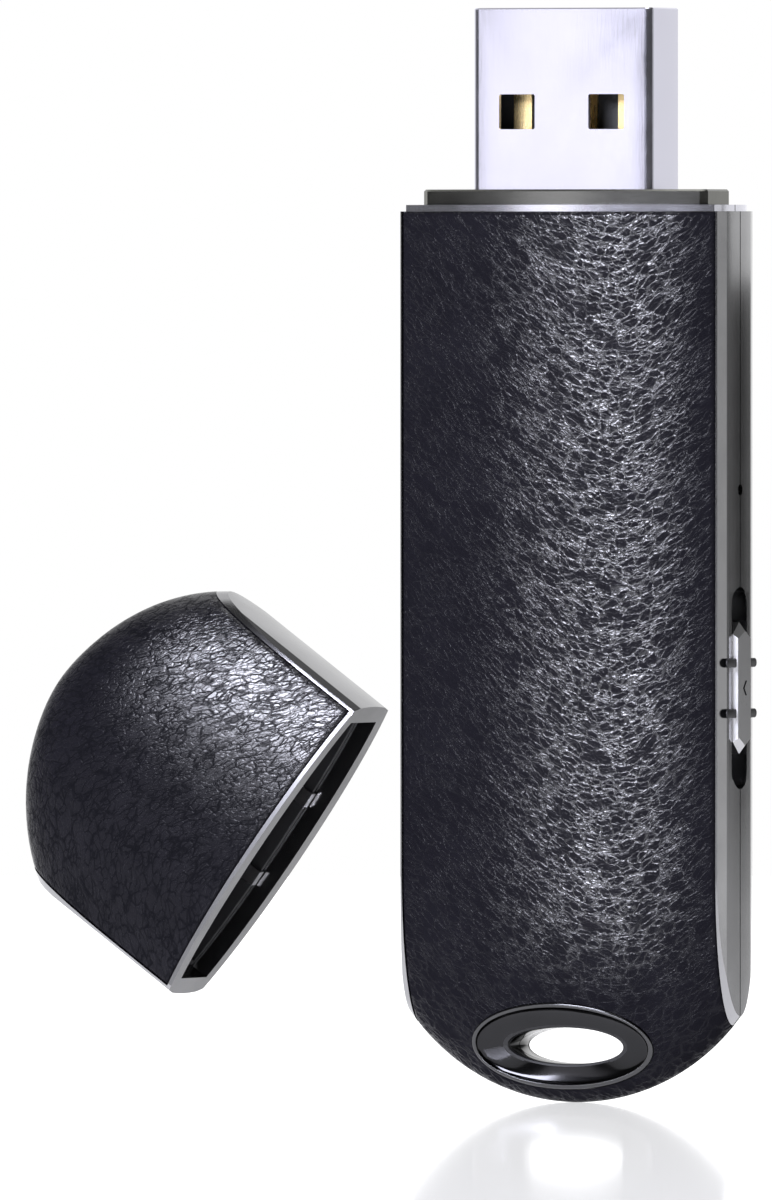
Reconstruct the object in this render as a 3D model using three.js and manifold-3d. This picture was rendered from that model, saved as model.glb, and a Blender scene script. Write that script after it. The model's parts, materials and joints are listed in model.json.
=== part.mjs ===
// A USB flash drive with a pull-off cap: a flat capsule-shaped body faced with leather, a metal-look
// frame that shows as a band round the sides, a slide switch in the right side and a lanyard hole.
// Units are millimetres and +Z is up. The drive stands on its round end with the plug on top, and
// the cap is off, at its left, leaning. Each piece is first made in the drive's own frame: X across
// the faces, Y from front to back, and the lowest point of the drive on the Z axis at height 0.
import * as THREE from "three";
import { mergeVertices } from "three/addons/utils/BufferGeometryUtils.js";
import Module from "manifold-3d";

const wasm = await Module();
wasm.setup();

// ---------------------------------------------------------------- driving sizes
// Plug, to the usual type A sizes
const PLUG_WIDTH = 12;
const PLUG_DEPTH = 4.5;
const PLUG_WALL = 0.3;
const PLUG_CORNER = 0.45;
const PLUG_REACH = 12.1; // how far the plug stands above the frame
const PLUG_ROOT = 4.9; // how far its shell goes down inside the frame
const WINDOW_WIDTH = 2.4;
const WINDOW_HEIGHT = 2.15;
const WINDOW_OFFSET = 3; // from the middle of the plug to the middle of a window
const WINDOW_DROP = 6.38; // from the tip of the plug down to the middle of a window
const TONGUE_RECESS = 0.4;
const BLOCK_DROP = 0.6; // from the frame's top down to the block that closes the shell's rear
const CONTACT_THICKNESS = 0.18;
const CONTACT_TAIL = 0.9; // how far each strip laps over the top of the board
const CONTACTS = [
  { name: "contact_power", offset: -3.5, width: 1.2, drop: 1.3 },
  { name: "contact_data_minus", offset: -1, width: 1, drop: 2.3 },
  { name: "contact_data_plus", offset: 1, width: 1, drop: 2.3 },
  { name: "contact_ground", offset: 3.5, width: 1.2, drop: 1.3 },
];

// Walls, from the outside in
const LEATHER = 0.6;
const GLUE = 0.08; // the film between leather and frame
const FRAME_WALL = 0.82;
const SIDE_WALL = 1.2;
const PLUG_ROOM = 0.1; // between the plug's corner and the frame's inside

// Outline of the body
const BODY_LENGTH = 55.2;
const BAND_CREST = 11; // half the width, at the crest of the side band
const BAND_CROWN = 0.36; // how far the crest stands out from the band's edges
const END_OVERRUN = 2.9; // how much the round end's radius is over half the width
const END_FULLNESS = 2; // 2 makes the end's thickness an ellipse, more makes it blunter
const RIM_INSET = 0.35;
const RIM_HEIGHT = 0.4;
const LIP = 0.14; // frame metal left between the leather's edge and the band
const PARTING_GAP = 0.08;
const CAP_RIM_HEIGHT = 0.25;

// Collar round the plug
const COLLAR_HEIGHT = 0.95;
const COLLAR_INSET = 1.3;
const COLLAR_HALF_WIDTH = 9.54;
const COLLAR_CHAMFER = 0.4;
const COLLAR_SPIGOT = 2.2;

// Lanyard hole: two dished rings, front and back
const EYELET_HEIGHT = 3.5;
const EYELET_LIP = { a: 6.05, b: 2.675 }; // half axes
const EYELET_WAIST = { a: 3.875, b: 1.175 };
const EYELET_FLANGE_STEP = 0.43; // how far the flange reaches over the sleeve
const EYELET_LIP_WIDTH = 0.28;
const EYELET_PROUD = 0.1; // how far the lip may stand out from the leather
const EYELET_WAIST_DEPTH = 1.65;
const EYELET_FLANGE = 1;
const EYELET_DISH_ROUND = 0.98; // 1 would leave the dish upright where it meets the lip
const EYELET_FLOOR = 1.2; // frame metal between the lanyard hole and the cavity

// Slide switch in the right side
const SLOT_HEIGHT = 25.55;
const SLOT_LENGTH = 12.4;
const SLOT_WIDTH = 2.34;
const SLIDE_TRAVEL = 2; // each way from the middle
const KNOB_LENGTH = 8.1;
const KNOB_WIDTH = 1.9;
const KNOB_PROUD = 0.32; // over the crest of the band
const KNOB_POINT = 0.75;
const RIB_SPREAD = 3.1; // between the two cross ribs
const RIB_LENGTH = 4.5;
const RIB_WIDTH = 0.56;
const RIB_TOP = 0.16; // over the crest of the band
const KNOB_RAMP = 0.9; // slope of the ramps at its two ends, in radians
const KNOB_RAMP_FOOT = 0.05; // how far below the crest a ramp ends
const ACTUATOR_BITE = 0.5; // how far the actuator reaches into the knob
const BACKING_THICKNESS = 0.35;
const BACKING_WIDTH = 2.9;
const ACTUATOR_WIDTH = 0.7;
const ACTUATOR_LENGTH = 1.8;
const SWITCH_DEPTH = 2.8;
const SWITCH_THICKNESS = 2;
const SWITCH_WALL = 0.6;

// Microphone behind its pinhole
const PINHOLE_HEIGHT = 37.7;
const PINHOLE_RADIUS = 0.35;
const MICROPHONE_RADIUS = 1.5;
const MICROPHONE_LENGTH = 1.5;

// Board, cell and chips
const BOARD_THICKNESS = 0.8;
const BOARD_SIDE_GAP = 0.8; // from the board's edge to the inside of the side wall
const BOARD_FLOOR_GAP = 0.9;
const BOARD_CORNER = 1.5; // the notch out of each lower corner
const BOARD_RIB_HEIGHT = 0.8;
const BOARD_RIB_LOW = 4; // from the board's lower edge up to the lower rib
const BOARD_RIB_HIGH = 2.2; // from the plug's shell down to the upper rib
const BOARD_RIB_END = 1; // from the board's edge to the end of a rib
const BOARD_RIB_BITE = 0.3; // how deep the ribs are rooted in the frame
const CELL_GAP = 0.15;
const CELL_SIDE_GAP = 0.3;
const CELL_FLOOR_GAP = 3;
const CELL_DROP = 17.6; // from the board's top down to the cell
const CHIP_GAP = 0.02;
const LEAD_RADIUS = 0.3;
const LEAD_SPREAD = 3;
const LEAD_RISE = 2.3; // from the cell up to the lead's pad
const LEAD_DEPTH = 1.2; // in front of the board, where a lead leaves the cell
const FRONT = -1;
const BACK = 1;
// Each chip's middle is x across, and its top edge is a drop below the board's.
const CHIPS = [
  { name: "controller_chip", side: FRONT, x: 0, drop: 2.4, width: 7, height: 7, thickness: 0.9 },
  { name: "audio_chip", side: FRONT, x: -2.6, drop: 10.4, width: 4, height: 4, thickness: 0.8 },
  { name: "regulator", side: FRONT, x: 3.4, drop: 10.8, width: 2.9, height: 1.6, thickness: 1 },
  { name: "flash_chip", side: BACK, x: 0, drop: 5.4, width: 12, height: 18, thickness: 1 },
];
const CRYSTAL = { side: FRONT, x: -6.4, drop: 3.2, width: 2, height: 3.2, thickness: 0.7 };
const CAPACITOR = { side: FRONT, width: 0.8, height: 1.6, thickness: 0.8 };
const CAPACITOR_SPOTS = [
  { x: 6.2, drop: 3 },
  { x: 6.2, drop: 5.4 },
  { x: -6.4, drop: 8 },
];

// Cap
const CAP_LENGTH = 18.5;
const CAP_END_OVERRUN = 2.4;
const CAP_END_FULLNESS = 3.2;
const CAP_WALL = 0.42;
const LINER_WALL = 0.35;
const LINER_GAP = 0.05;
const LINER_RECESS_ROOM = 0.25; // between the collar's top and the liner's edge, cap on
const CAP_TILT = 54; // degrees, to the left
const CAP_STAND_OFF = 2.634; // from the drive to the nearest edge of the cap's mouth
const CAP_LIFT = 6.451; // height of the lowest edge of its mouth
const GRIP_WIDTH = 1;
const GRIP_THICKNESS = 0.15;
const GRIP_BUMP = 0.22;
const GRIP_BUMP_LENGTH = 1;
const GRIP_TAIL = 1.2; // from the middle of the bump to the strip's inner end
const GRIP_HOOK = 0.12; // thickness of the hook over the liner's edge
const GRIP_HOOK_REACH = 0.4;

// Clearances
const SLIDE_GAP = 0.1;
const SEAT_GAP = 0.05;

// Facets
const ROUND_FACETS = 40;
const ARC_FACETS = 8;
const HOLE_FACETS = 28;
const BAND_FACETS = 5;
const LENS_FACETS = 24;
const DISH_FACETS = 6;
const RIB_FACETS = 6;
const LEAD_FACETS = 8;

// ---------------------------------------------------------------- sizes worked out from them
const END_RADIUS = BAND_CREST + END_OVERRUN;
const CAP_END_RADIUS = BAND_CREST + CAP_END_OVERRUN;
const BAND_EDGE = BAND_CREST - BAND_CROWN;
const WALL_STACK = LEATHER + GLUE + FRAME_WALL;
const LEATHER_HALF_WIDTH = BAND_EDGE - LIP;
const CAVITY_HALF_WIDTH = BAND_CREST - SIDE_WALL;
// The cavity is just thick enough for the corners of the plug.
const CAVITY_RADIUS = END_RADIUS - WALL_STACK;
const CAVITY_HALF_THICKNESS =
  (PLUG_DEPTH / 2 + PLUG_ROOM) / Math.sqrt(1 - (PLUG_WIDTH / 2 / CAVITY_RADIUS) ** 2);
const HALF_THICKNESS = CAVITY_HALF_THICKNESS + WALL_STACK;
const SHOULDER = BODY_LENGTH - RIM_HEIGHT;
const COLLAR_TOP = BODY_LENGTH + COLLAR_HEIGHT;
const PLUG_TIP = BODY_LENGTH + PLUG_REACH;
const PLUG_BOTTOM = BODY_LENGTH - PLUG_ROOT;
const EYELET_SLEEVE = {
  a: EYELET_LIP.a - EYELET_FLANGE_STEP,
  b: EYELET_LIP.b - EYELET_FLANGE_STEP,
};
const CAVITY_FLOOR = EYELET_HEIGHT + EYELET_SLEEVE.b + EYELET_FLOOR;
const BOARD_TOP = PLUG_BOTTOM - SEAT_GAP;
const BOARD_BOTTOM = CAVITY_FLOOR + BOARD_FLOOR_GAP;
const BOARD_HALF_WIDTH = CAVITY_HALF_WIDTH - BOARD_SIDE_GAP;
const BACKING_OUTER = CAVITY_HALF_WIDTH - SLIDE_GAP;
const BACKING_INNER = BACKING_OUTER - BACKING_THICKNESS;
const SWITCH_OUTER = BACKING_INNER - SLIDE_GAP;
const SWITCH_INNER = SWITCH_OUTER - SWITCH_DEPTH;
const SWITCH_HALF_LENGTH = ACTUATOR_LENGTH / 2 + SLIDE_TRAVEL + SLIDE_GAP + SWITCH_WALL;
const BACKING_HALF_LENGTH = SLOT_LENGTH / 2 + SLIDE_TRAVEL + SLIDE_GAP;
const ACTUATOR_TIP = CAVITY_HALF_WIDTH + ACTUATOR_BITE;
const CELL_HALF_WIDTH = SWITCH_INNER - CELL_SIDE_GAP;
const CELL_BOTTOM = CAVITY_FLOOR + CELL_FLOOR_GAP;
const CELL_TOP = BOARD_TOP - CELL_DROP;
const CAP_INSIDE = LEATHER + GLUE + CAP_WALL;
const LINER_OUTSIDE = CAP_INSIDE + LINER_GAP;
const LINER_INSIDE = LINER_OUTSIDE + LINER_WALL;
const LINER_EDGE = CAP_LENGTH - COLLAR_HEIGHT - LINER_RECESS_ROOM;
const LINER_HALF_WIDTH = CAVITY_HALF_WIDTH - LINER_GAP;
const CAP_LEATHER_TOP = CAP_LENGTH - CAP_RIM_HEIGHT;
// The middle of the cap's mouth. The mouth is as wide as the drive, and leans by the tilt.
const TILT = THREE.MathUtils.degToRad(CAP_TILT);
const CAP_MOUTH = {
  x: -(BAND_CREST + CAP_STAND_OFF + BAND_CREST * Math.cos(TILT)),
  z: CAP_LIFT + BAND_CREST * Math.sin(TILT),
};
const DRIVE_END = { radius: END_RADIUS, fullness: END_FULLNESS };
const CAP_END = { radius: CAP_END_RADIUS, fullness: CAP_END_FULLNESS };
const FAR = 100; // past everything
const OVERCUT = 1; // how far a cutting solid reaches past the face it opens

// ---------------------------------------------------------------- solids
// A closed geometry as a solid that can be joined and cut.
function solid(geometry) {
  const bare = new THREE.BufferGeometry();
  bare.setAttribute("position", geometry.getAttribute("position").clone());
  if (geometry.index) bare.setIndex(geometry.index.clone());
  const merged = mergeVertices(bare, 1e-4);
  const mesh = new wasm.Mesh({
    numProp: 3,
    vertProperties: merged.getAttribute("position").array,
    triVerts: new Uint32Array(merged.index.array),
  });
  mesh.merge();
  return new wasm.Manifold(mesh);
}

// A solid back as a geometry.
function geometryOf(body) {
  const mesh = body.getMesh();
  const geometry = new THREE.BufferGeometry();
  geometry.setAttribute("position", new THREE.BufferAttribute(mesh.vertProperties, 3));
  geometry.setIndex(new THREE.BufferAttribute(mesh.triVerts, 1));
  geometry.computeVertexNormals();
  return geometry;
}

// A box between two corners.
function box(x0, x1, y0, y1, z0, z1) {
  const geometry = new THREE.BoxGeometry(x1 - x0, y1 - y0, z1 - z0);
  geometry.translate((x0 + x1) / 2, (y0 + y1) / 2, (z0 + z1) / 2);
  return solid(geometry);
}

// An outline in X and Y, raised from one height to another.
function prism(shape, bottom, top, curveSegments = BAND_FACETS) {
  const geometry = new THREE.ExtrudeGeometry(shape, {
    depth: top - bottom,
    bevelEnabled: false,
    curveSegments,
  });
  geometry.translate(0, 0, bottom);
  return solid(geometry);
}

// An outline in Y and Z, raised along X from one place to another.
function sidePrism(shape, from, to, curveSegments = HOLE_FACETS / 2) {
  const geometry = new THREE.ExtrudeGeometry(shape, {
    depth: to - from,
    bevelEnabled: false,
    curveSegments,
  });
  geometry.translate(0, 0, from);
  geometry.rotateX(Math.PI / 2);
  geometry.rotateZ(Math.PI / 2);
  return solid(geometry);
}

// The form that drive and cap share, offset inwards: a round end at height 0, then straight up to
// the top. Seen from the front it is a capsule, and it is flat from front to back.
function capsule(inset, top, end) {
  const radius = end.radius - inset;
  const halfThickness = HALF_THICKNESS - inset;
  const profile = [];
  for (let i = 0; i <= ARC_FACETS; i++) {
    const angle = (i / ARC_FACETS) * (Math.PI / 2);
    profile.push(new THREE.Vector2(radius * Math.sin(angle), end.radius - radius * Math.cos(angle)));
  }
  profile.push(new THREE.Vector2(radius, top));
  profile.push(new THREE.Vector2(0, top));
  const geometry = new THREE.LatheGeometry(profile, ROUND_FACETS);
  geometry.rotateX(Math.PI / 2);
  geometry.scale(1, -1, 1);
  geometry.index.array.reverse();
  const position = geometry.getAttribute("position");
  for (let i = 0; i < position.count; i++) {
    const below = Math.max(end.radius - position.getZ(i), 0) / radius;
    const round = Math.sqrt(Math.max(1 - below ** 2, 0));
    const thickness = Math.max(1 - below ** end.fullness, 0) ** (1 / end.fullness);
    const flatten = round > 0.001 ? thickness / round : 1;
    position.setY(i, position.getY(i) * flatten * (halfThickness / radius));
  }
  return solid(geometry);
}

// Half the thickness of that form, above its round end, at a place across its face.
function halfThicknessAt(inset, x, height = END_RADIUS) {
  const radius = END_RADIUS - inset;
  const below = Math.max(END_RADIUS - height, 0) / radius;
  const width = radius * Math.sqrt(1 - below ** 2);
  const thickness = (HALF_THICKNESS - inset) * (1 - below ** END_FULLNESS) ** (1 / END_FULLNESS);
  return thickness * Math.sqrt(1 - (x / width) ** 2);
}

// The straight-sided block that trims the form: its two sides are crowned.
function band(inset, bottom, top) {
  const edge = BAND_EDGE - inset;
  const half = halfThicknessAt(0, BAND_EDGE);
  const away = HALF_THICKNESS + OVERCUT;
  const shape = new THREE.Shape();
  shape.moveTo(-edge, -away);
  shape.lineTo(edge, -away);
  shape.lineTo(edge, -half);
  shape.quadraticCurveTo(edge + 2 * BAND_CROWN, 0, edge, half);
  shape.lineTo(edge, away);
  shape.lineTo(-edge, away);
  shape.lineTo(-edge, half);
  shape.quadraticCurveTo(-edge - 2 * BAND_CROWN, 0, -edge, -half);
  return prism(shape, bottom, top);
}

// Everything on one side of the parting plane, starting a gap away from it.
function halfSpace(side, gap) {
  return side === FRONT
    ? box(-FAR, FAR, -FAR, -gap, -FAR, FAR)
    : box(-FAR, FAR, gap, FAR, -FAR, FAR);
}

// An elliptical ring or plug round the lanyard hole. Each step of the profile is a half axis
// across, a half axis up and a depth, and the depths lean as the face does there.
function ellipticLathe(steps, side) {
  const geometry = new THREE.LatheGeometry(
    steps.map((step) => new THREE.Vector2(step.a, step.depth)),
    HOLE_FACETS,
  );
  const position = geometry.getAttribute("position");
  const lean = faceLean();
  for (let i = 0; i < position.count; i++) {
    const step = steps[i % steps.length];
    const up = step.a > 0 ? position.getZ(i) * (step.b / step.a) : 0;
    position.setZ(i, EYELET_HEIGHT + up);
    position.setY(i, side * (position.getY(i) + lean * up));
  }
  let body = solid(geometry);
  if (body.volume() < 0) {
    geometry.index.array.reverse();
    body = solid(geometry);
  }
  return body;
}

// How much deeper the face gets for each millimetre up, at the lanyard hole.
function faceLean() {
  const step = 0.5;
  const above = halfThicknessAt(0, 0, EYELET_HEIGHT + step);
  const below = halfThicknessAt(0, 0, EYELET_HEIGHT - step);
  return (above - below) / (2 * step);
}

// The outside of one lanyard ring, grown by a clearance: a wide flange on a narrower sleeve.
function eyeletBody(side, grow) {
  const lip = halfThicknessAt(0, 0, EYELET_HEIGHT) + EYELET_PROUD;
  const seat = lip - EYELET_FLANGE - grow;
  const flange = { a: EYELET_LIP.a + grow, b: EYELET_LIP.b + grow };
  const sleeve = { a: EYELET_SLEEVE.a + grow, b: EYELET_SLEEVE.b + grow };
  return ellipticLathe(
    [
      { a: 0, b: 0, depth: -2 * OVERCUT },
      { ...sleeve, depth: -2 * OVERCUT },
      { ...sleeve, depth: seat },
      { ...flange, depth: seat },
      { ...flange, depth: lip + 2 * OVERCUT },
      { a: 0, b: 0, depth: lip + 2 * OVERCUT },
    ],
    side,
  );
}

// The dish and the hole through one lanyard ring: steep at the lip, flat where it meets the waist.
function eyeletDish(side) {
  const lip = halfThicknessAt(0, 0, EYELET_HEIGHT) + EYELET_PROUD;
  const mouth = { a: EYELET_LIP.a - EYELET_LIP_WIDTH, b: EYELET_LIP.b - EYELET_LIP_WIDTH };
  const steps = [
    { a: 0, b: 0, depth: -3 * OVERCUT },
    { ...EYELET_WAIST, depth: -3 * OVERCUT },
  ];
  for (let i = 0; i <= DISH_FACETS; i++) {
    const t = i / DISH_FACETS;
    const rise = 1 - Math.sqrt(1 - EYELET_DISH_ROUND * t * t);
    steps.push({
      a: EYELET_WAIST.a + (mouth.a - EYELET_WAIST.a) * t,
      b: EYELET_WAIST.b + (mouth.b - EYELET_WAIST.b) * t,
      depth: EYELET_WAIST_DEPTH + (lip - EYELET_WAIST_DEPTH) * rise,
    });
  }
  steps.push({ ...mouth, depth: lip + 3 * OVERCUT });
  steps.push({ a: 0, b: 0, depth: lip + 3 * OVERCUT });
  return ellipticLathe(steps, side);
}

// A slot with round ends in the right side wall.
function slotShape(length, width) {
  const straight = length / 2 - width / 2;
  const shape = new THREE.Shape();
  shape.absarc(0, SLOT_HEIGHT + straight, width / 2, 0, Math.PI, false);
  shape.absarc(0, SLOT_HEIGHT - straight, width / 2, Math.PI, 2 * Math.PI, false);
  return shape;
}

// ---------------------------------------------------------------- materials
const finish = (color, roughness, metalness) => ({ color, roughness, metalness });
const GUNMETAL = finish(0x5a5c60, 0.28, 0.95);
const DARK_METAL = finish(0x3a3a3c, 0.3, 0.9);
const LEATHER_BLACK = finish(0x1c1b20, 0.5, 0);
const STEEL = finish(0xd8d8de, 0.22, 1);
const GOLD = finish(0xd8a850, 0.3, 1);
const BLACK_PLASTIC = finish(0x101012, 0.6, 0);
const GREY_PLASTIC = finish(0x8b8c8f, 0.35, 0.6);
const BOARD_GREEN = finish(0x12442a, 0.5, 0.1);
const CHIP_BLACK = finish(0x17171a, 0.55, 0);
const FOIL = finish(0xb9bcc2, 0.35, 0.9);
const WIRE_RED = finish(0xa01818, 0.5, 0);
const CAPACITOR_TAN = finish(0xa58b62, 0.5, 0.1);

const drive = new THREE.Group();
const cap = new THREE.Group();

function add(group, name, body, look) {
  const mesh = new THREE.Mesh(geometryOf(body), new THREE.MeshStandardMaterial(look));
  mesh.name = name;
  group.add(mesh);
}

// ---------------------------------------------------------------- frame of the drive
// Where the leather lies on a face: between the outer form and the film of glue under it.
function leatherRoom(top, end) {
  const reach = LEATHER_HALF_WIDTH + GLUE;
  return box(-reach, reach, -FAR, FAR, -OVERCUT, top)
    .intersect(capsule(-OVERCUT, top + OVERCUT, end))
    .subtract(capsule(LEATHER + GLUE, top + 2 * OVERCUT, end));
}

function frameHalf(side) {
  const outer = capsule(0, SHOULDER, DRIVE_END).intersect(band(0, -OVERCUT, FAR));
  const rim = capsule(RIM_INSET, BODY_LENGTH, DRIVE_END).intersect(
    band(RIM_INSET, SHOULDER, FAR),
  );
  const core = capsule(LEATHER + GLUE, BODY_LENGTH, DRIVE_END).intersect(
    band(RIM_INSET, SHOULDER - OVERCUT, FAR),
  );
  const cavity = capsule(WALL_STACK, FAR, DRIVE_END).intersect(
    box(-CAVITY_HALF_WIDTH, CAVITY_HALF_WIDTH, -FAR, FAR, CAVITY_FLOOR, FAR),
  );
  const slot = sidePrism(
    slotShape(SLOT_LENGTH, SLOT_WIDTH),
    CAVITY_HALF_WIDTH - OVERCUT,
    BAND_CREST + OVERCUT,
  );
  const pinhole = new THREE.CylinderGeometry(
    PINHOLE_RADIUS,
    PINHOLE_RADIUS,
    2 * (SIDE_WALL + OVERCUT),
    HOLE_FACETS / 2,
  );
  pinhole.rotateZ(Math.PI / 2);
  pinhole.translate(BAND_CREST, 0, PINHOLE_HEIGHT);
  return outer
    .subtract(leatherRoom(SHOULDER, DRIVE_END))
    .add(rim)
    .add(core)
    .subtract(cavity)
    .subtract(slot)
    .subtract(solid(pinhole))
    .subtract(eyeletBody(side, SEAT_GAP))
    .intersect(halfSpace(side, PARTING_GAP / 2));
}

// Two ribs inside the back half that the board rests on.
function boardRibs() {
  const reach = BOARD_HALF_WIDTH - BOARD_RIB_END;
  const face = BOARD_THICKNESS + SEAT_GAP;
  const [low, high] = [BOARD_BOTTOM + BOARD_RIB_LOW, PLUG_BOTTOM - BOARD_RIB_HIGH].map((height) =>
    box(-reach, reach, face, FAR, height, height + BOARD_RIB_HEIGHT),
  );
  return low.add(high).intersect(capsule(WALL_STACK - BOARD_RIB_BITE, BODY_LENGTH, DRIVE_END));
}

function leatherSkin(side, top, end) {
  return box(-LEATHER_HALF_WIDTH, LEATHER_HALF_WIDTH, -FAR, FAR, -OVERCUT, top - SEAT_GAP)
    .intersect(capsule(0, top + OVERCUT, end))
    .subtract(capsule(LEATHER, top + 2 * OVERCUT, end))
    .intersect(halfSpace(side, PARTING_GAP / 2));
}

add(drive, "front_frame", frameHalf(FRONT), GUNMETAL);
add(drive, "back_frame", frameHalf(BACK).add(boardRibs()), GUNMETAL);
for (const [name, side] of [["front", FRONT], ["back", BACK]]) {
  const skin = leatherSkin(side, SHOULDER, DRIVE_END).subtract(eyeletBody(side, SEAT_GAP));
  const ring = eyeletBody(side, 0)
    .intersect(capsule(-EYELET_PROUD, BODY_LENGTH, DRIVE_END))
    .subtract(eyeletDish(side))
    .intersect(halfSpace(side, PARTING_GAP / 2));
  add(drive, name + "_leather", skin, LEATHER_BLACK);
  add(drive, name + "_lanyard_ring", ring, DARK_METAL);
}

// ---------------------------------------------------------------- collar and plug
// A lens outline with chamfered corners, inside the body's own outline.
function lensShape(inset, halfWidth, chamfer) {
  const shape = new THREE.Shape();
  const corner = halfWidth - chamfer;
  const side = halfThicknessAt(inset, corner) - chamfer;
  shape.moveTo(-halfWidth, -side);
  for (let i = 0; i <= LENS_FACETS; i++) {
    const x = -corner + (2 * corner * i) / LENS_FACETS;
    shape.lineTo(x, -halfThicknessAt(inset, x));
  }
  shape.lineTo(halfWidth, -side);
  shape.lineTo(halfWidth, side);
  for (let i = LENS_FACETS; i >= 0; i--) {
    const x = -corner + (2 * corner * i) / LENS_FACETS;
    shape.lineTo(x, halfThicknessAt(inset, x));
  }
  shape.lineTo(-halfWidth, side);
  return shape;
}

// A rectangle with rounded corners, centred on the Z axis.
function roundedRectangle(halfWidth, halfDepth, corner) {
  const x = halfWidth - corner;
  const y = halfDepth - corner;
  const shape = new THREE.Shape();
  shape.absarc(x, -y, corner, -Math.PI / 2, 0, false);
  shape.absarc(x, y, corner, 0, Math.PI / 2, false);
  shape.absarc(-x, y, corner, Math.PI / 2, Math.PI, false);
  shape.absarc(-x, -y, corner, Math.PI, 1.5 * Math.PI, false);
  return shape;
}

const plugHalfWidth = PLUG_WIDTH / 2;
const plugHalfDepth = PLUG_DEPTH / 2;
const plugPassage = prism(
  roundedRectangle(plugHalfWidth + SEAT_GAP, plugHalfDepth + SEAT_GAP, PLUG_CORNER),
  PLUG_BOTTOM,
  PLUG_TIP,
);
const collarPlate = prism(
  lensShape(COLLAR_INSET, COLLAR_HALF_WIDTH, COLLAR_CHAMFER),
  BODY_LENGTH,
  COLLAR_TOP,
);
const collarSpigot = prism(
  lensShape(WALL_STACK + SEAT_GAP, COLLAR_HALF_WIDTH, COLLAR_CHAMFER),
  BODY_LENGTH - COLLAR_SPIGOT,
  BODY_LENGTH + COLLAR_HEIGHT / 2,
);
add(drive, "collar", collarPlate.add(collarSpigot).subtract(plugPassage), DARK_METAL);

function plugShell() {
  const outside = roundedRectangle(plugHalfWidth, plugHalfDepth, PLUG_CORNER);
  const inside = roundedRectangle(
    plugHalfWidth - PLUG_WALL,
    plugHalfDepth - PLUG_WALL,
    PLUG_CORNER - PLUG_WALL / 2,
  );
  let shell = prism(outside, PLUG_BOTTOM, PLUG_TIP).subtract(
    prism(inside, PLUG_BOTTOM - OVERCUT, PLUG_TIP + OVERCUT),
  );
  const middle = PLUG_TIP - WINDOW_DROP;
  for (const x of [-WINDOW_OFFSET, WINDOW_OFFSET]) {
    shell = shell.subtract(
      box(
        x - WINDOW_WIDTH / 2,
        x + WINDOW_WIDTH / 2,
        -FAR,
        FAR,
        middle - WINDOW_HEIGHT / 2,
        middle + WINDOW_HEIGHT / 2,
      ),
    );
  }
  return shell;
}

function plugInsulator() {
  const halfWidth = plugHalfWidth - PLUG_WALL - SEAT_GAP;
  const halfDepth = plugHalfDepth - PLUG_WALL - SEAT_GAP;
  const floor = PLUG_BOTTOM + SEAT_GAP;
  const outline = roundedRectangle(halfWidth, halfDepth, PLUG_CORNER - PLUG_WALL / 2);
  const block = prism(outline, floor, BODY_LENGTH - BLOCK_DROP);
  const tongue = prism(outline, floor, PLUG_TIP - TONGUE_RECESS).intersect(
    box(-FAR, FAR, 0, FAR, -FAR, FAR),
  );
  let body = block.add(tongue);
  for (const { offset, width } of CONTACTS) {
    const half = width / 2 + SEAT_GAP;
    const depth = CONTACT_THICKNESS + 2 * SEAT_GAP;
    body = body.subtract(box(offset - half, offset + half, -depth, 0, -FAR, BODY_LENGTH));
  }
  return body;
}

add(drive, "plug_shell", plugShell(), STEEL);
add(drive, "plug_insulator", plugInsulator(), BLACK_PLASTIC);
for (const { name, offset, width, drop } of CONTACTS) {
  const front = -CHIP_GAP - CONTACT_THICKNESS;
  const half = width / 2;
  const tail = BOARD_TOP - CONTACT_TAIL;
  const strip = box(offset - half, offset + half, front, -CHIP_GAP, tail, PLUG_TIP - drop);
  add(drive, name, strip, GOLD);
}

// ---------------------------------------------------------------- board and what is on it
function mainBoard() {
  const edge = BOARD_HALF_WIDTH;
  const inside = edge - BOARD_CORNER;
  const above = BOARD_BOTTOM + BOARD_CORNER;
  const switchRoom = SWITCH_HALF_LENGTH + SEAT_GAP;
  const microphoneRoom = MICROPHONE_RADIUS + SEAT_GAP;
  const microphoneInner = CAVITY_HALF_WIDTH - SLIDE_GAP - MICROPHONE_LENGTH - SEAT_GAP;
  const notch = (from, height, room) => box(from, FAR, -FAR, FAR, height - room, height + room);
  return box(-edge, edge, 0, BOARD_THICKNESS, above, BOARD_TOP)
    .add(box(-inside, inside, 0, BOARD_THICKNESS, BOARD_BOTTOM, BOARD_TOP))
    .subtract(notch(SWITCH_INNER - SEAT_GAP, SLOT_HEIGHT, switchRoom))
    .subtract(notch(microphoneInner, PINHOLE_HEIGHT, microphoneRoom));
}

add(drive, "main_board", mainBoard(), BOARD_GREEN);

// A part soldered flat on the board, on its front or its back face.
function onBoard(name, { side, x, drop, width, height, thickness }, look) {
  const face = side === FRONT ? -CHIP_GAP - thickness : BOARD_THICKNESS + CHIP_GAP;
  const top = BOARD_TOP - drop;
  const body = box(x - width / 2, x + width / 2, face, face + thickness, top - height, top);
  add(drive, name, body, look);
}

for (const chip of CHIPS) onBoard(chip.name, chip, CHIP_BLACK);
onBoard("crystal", CRYSTAL, FOIL);
CAPACITOR_SPOTS.forEach((spot, i) => {
  onBoard("capacitor_" + (i + 1), { ...CAPACITOR, ...spot }, CAPACITOR_TAN);
});

// The cell fills the front of the cavity below the chips, as thick as the lens leaves room for.
const cellFront = halfThicknessAt(WALL_STACK, CELL_HALF_WIDTH, CELL_BOTTOM) - SLIDE_GAP;
const cell = box(
  -CELL_HALF_WIDTH,
  CELL_HALF_WIDTH,
  -cellFront,
  -CELL_GAP,
  CELL_BOTTOM,
  CELL_TOP,
);
add(drive, "battery", cell, FOIL);

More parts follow.
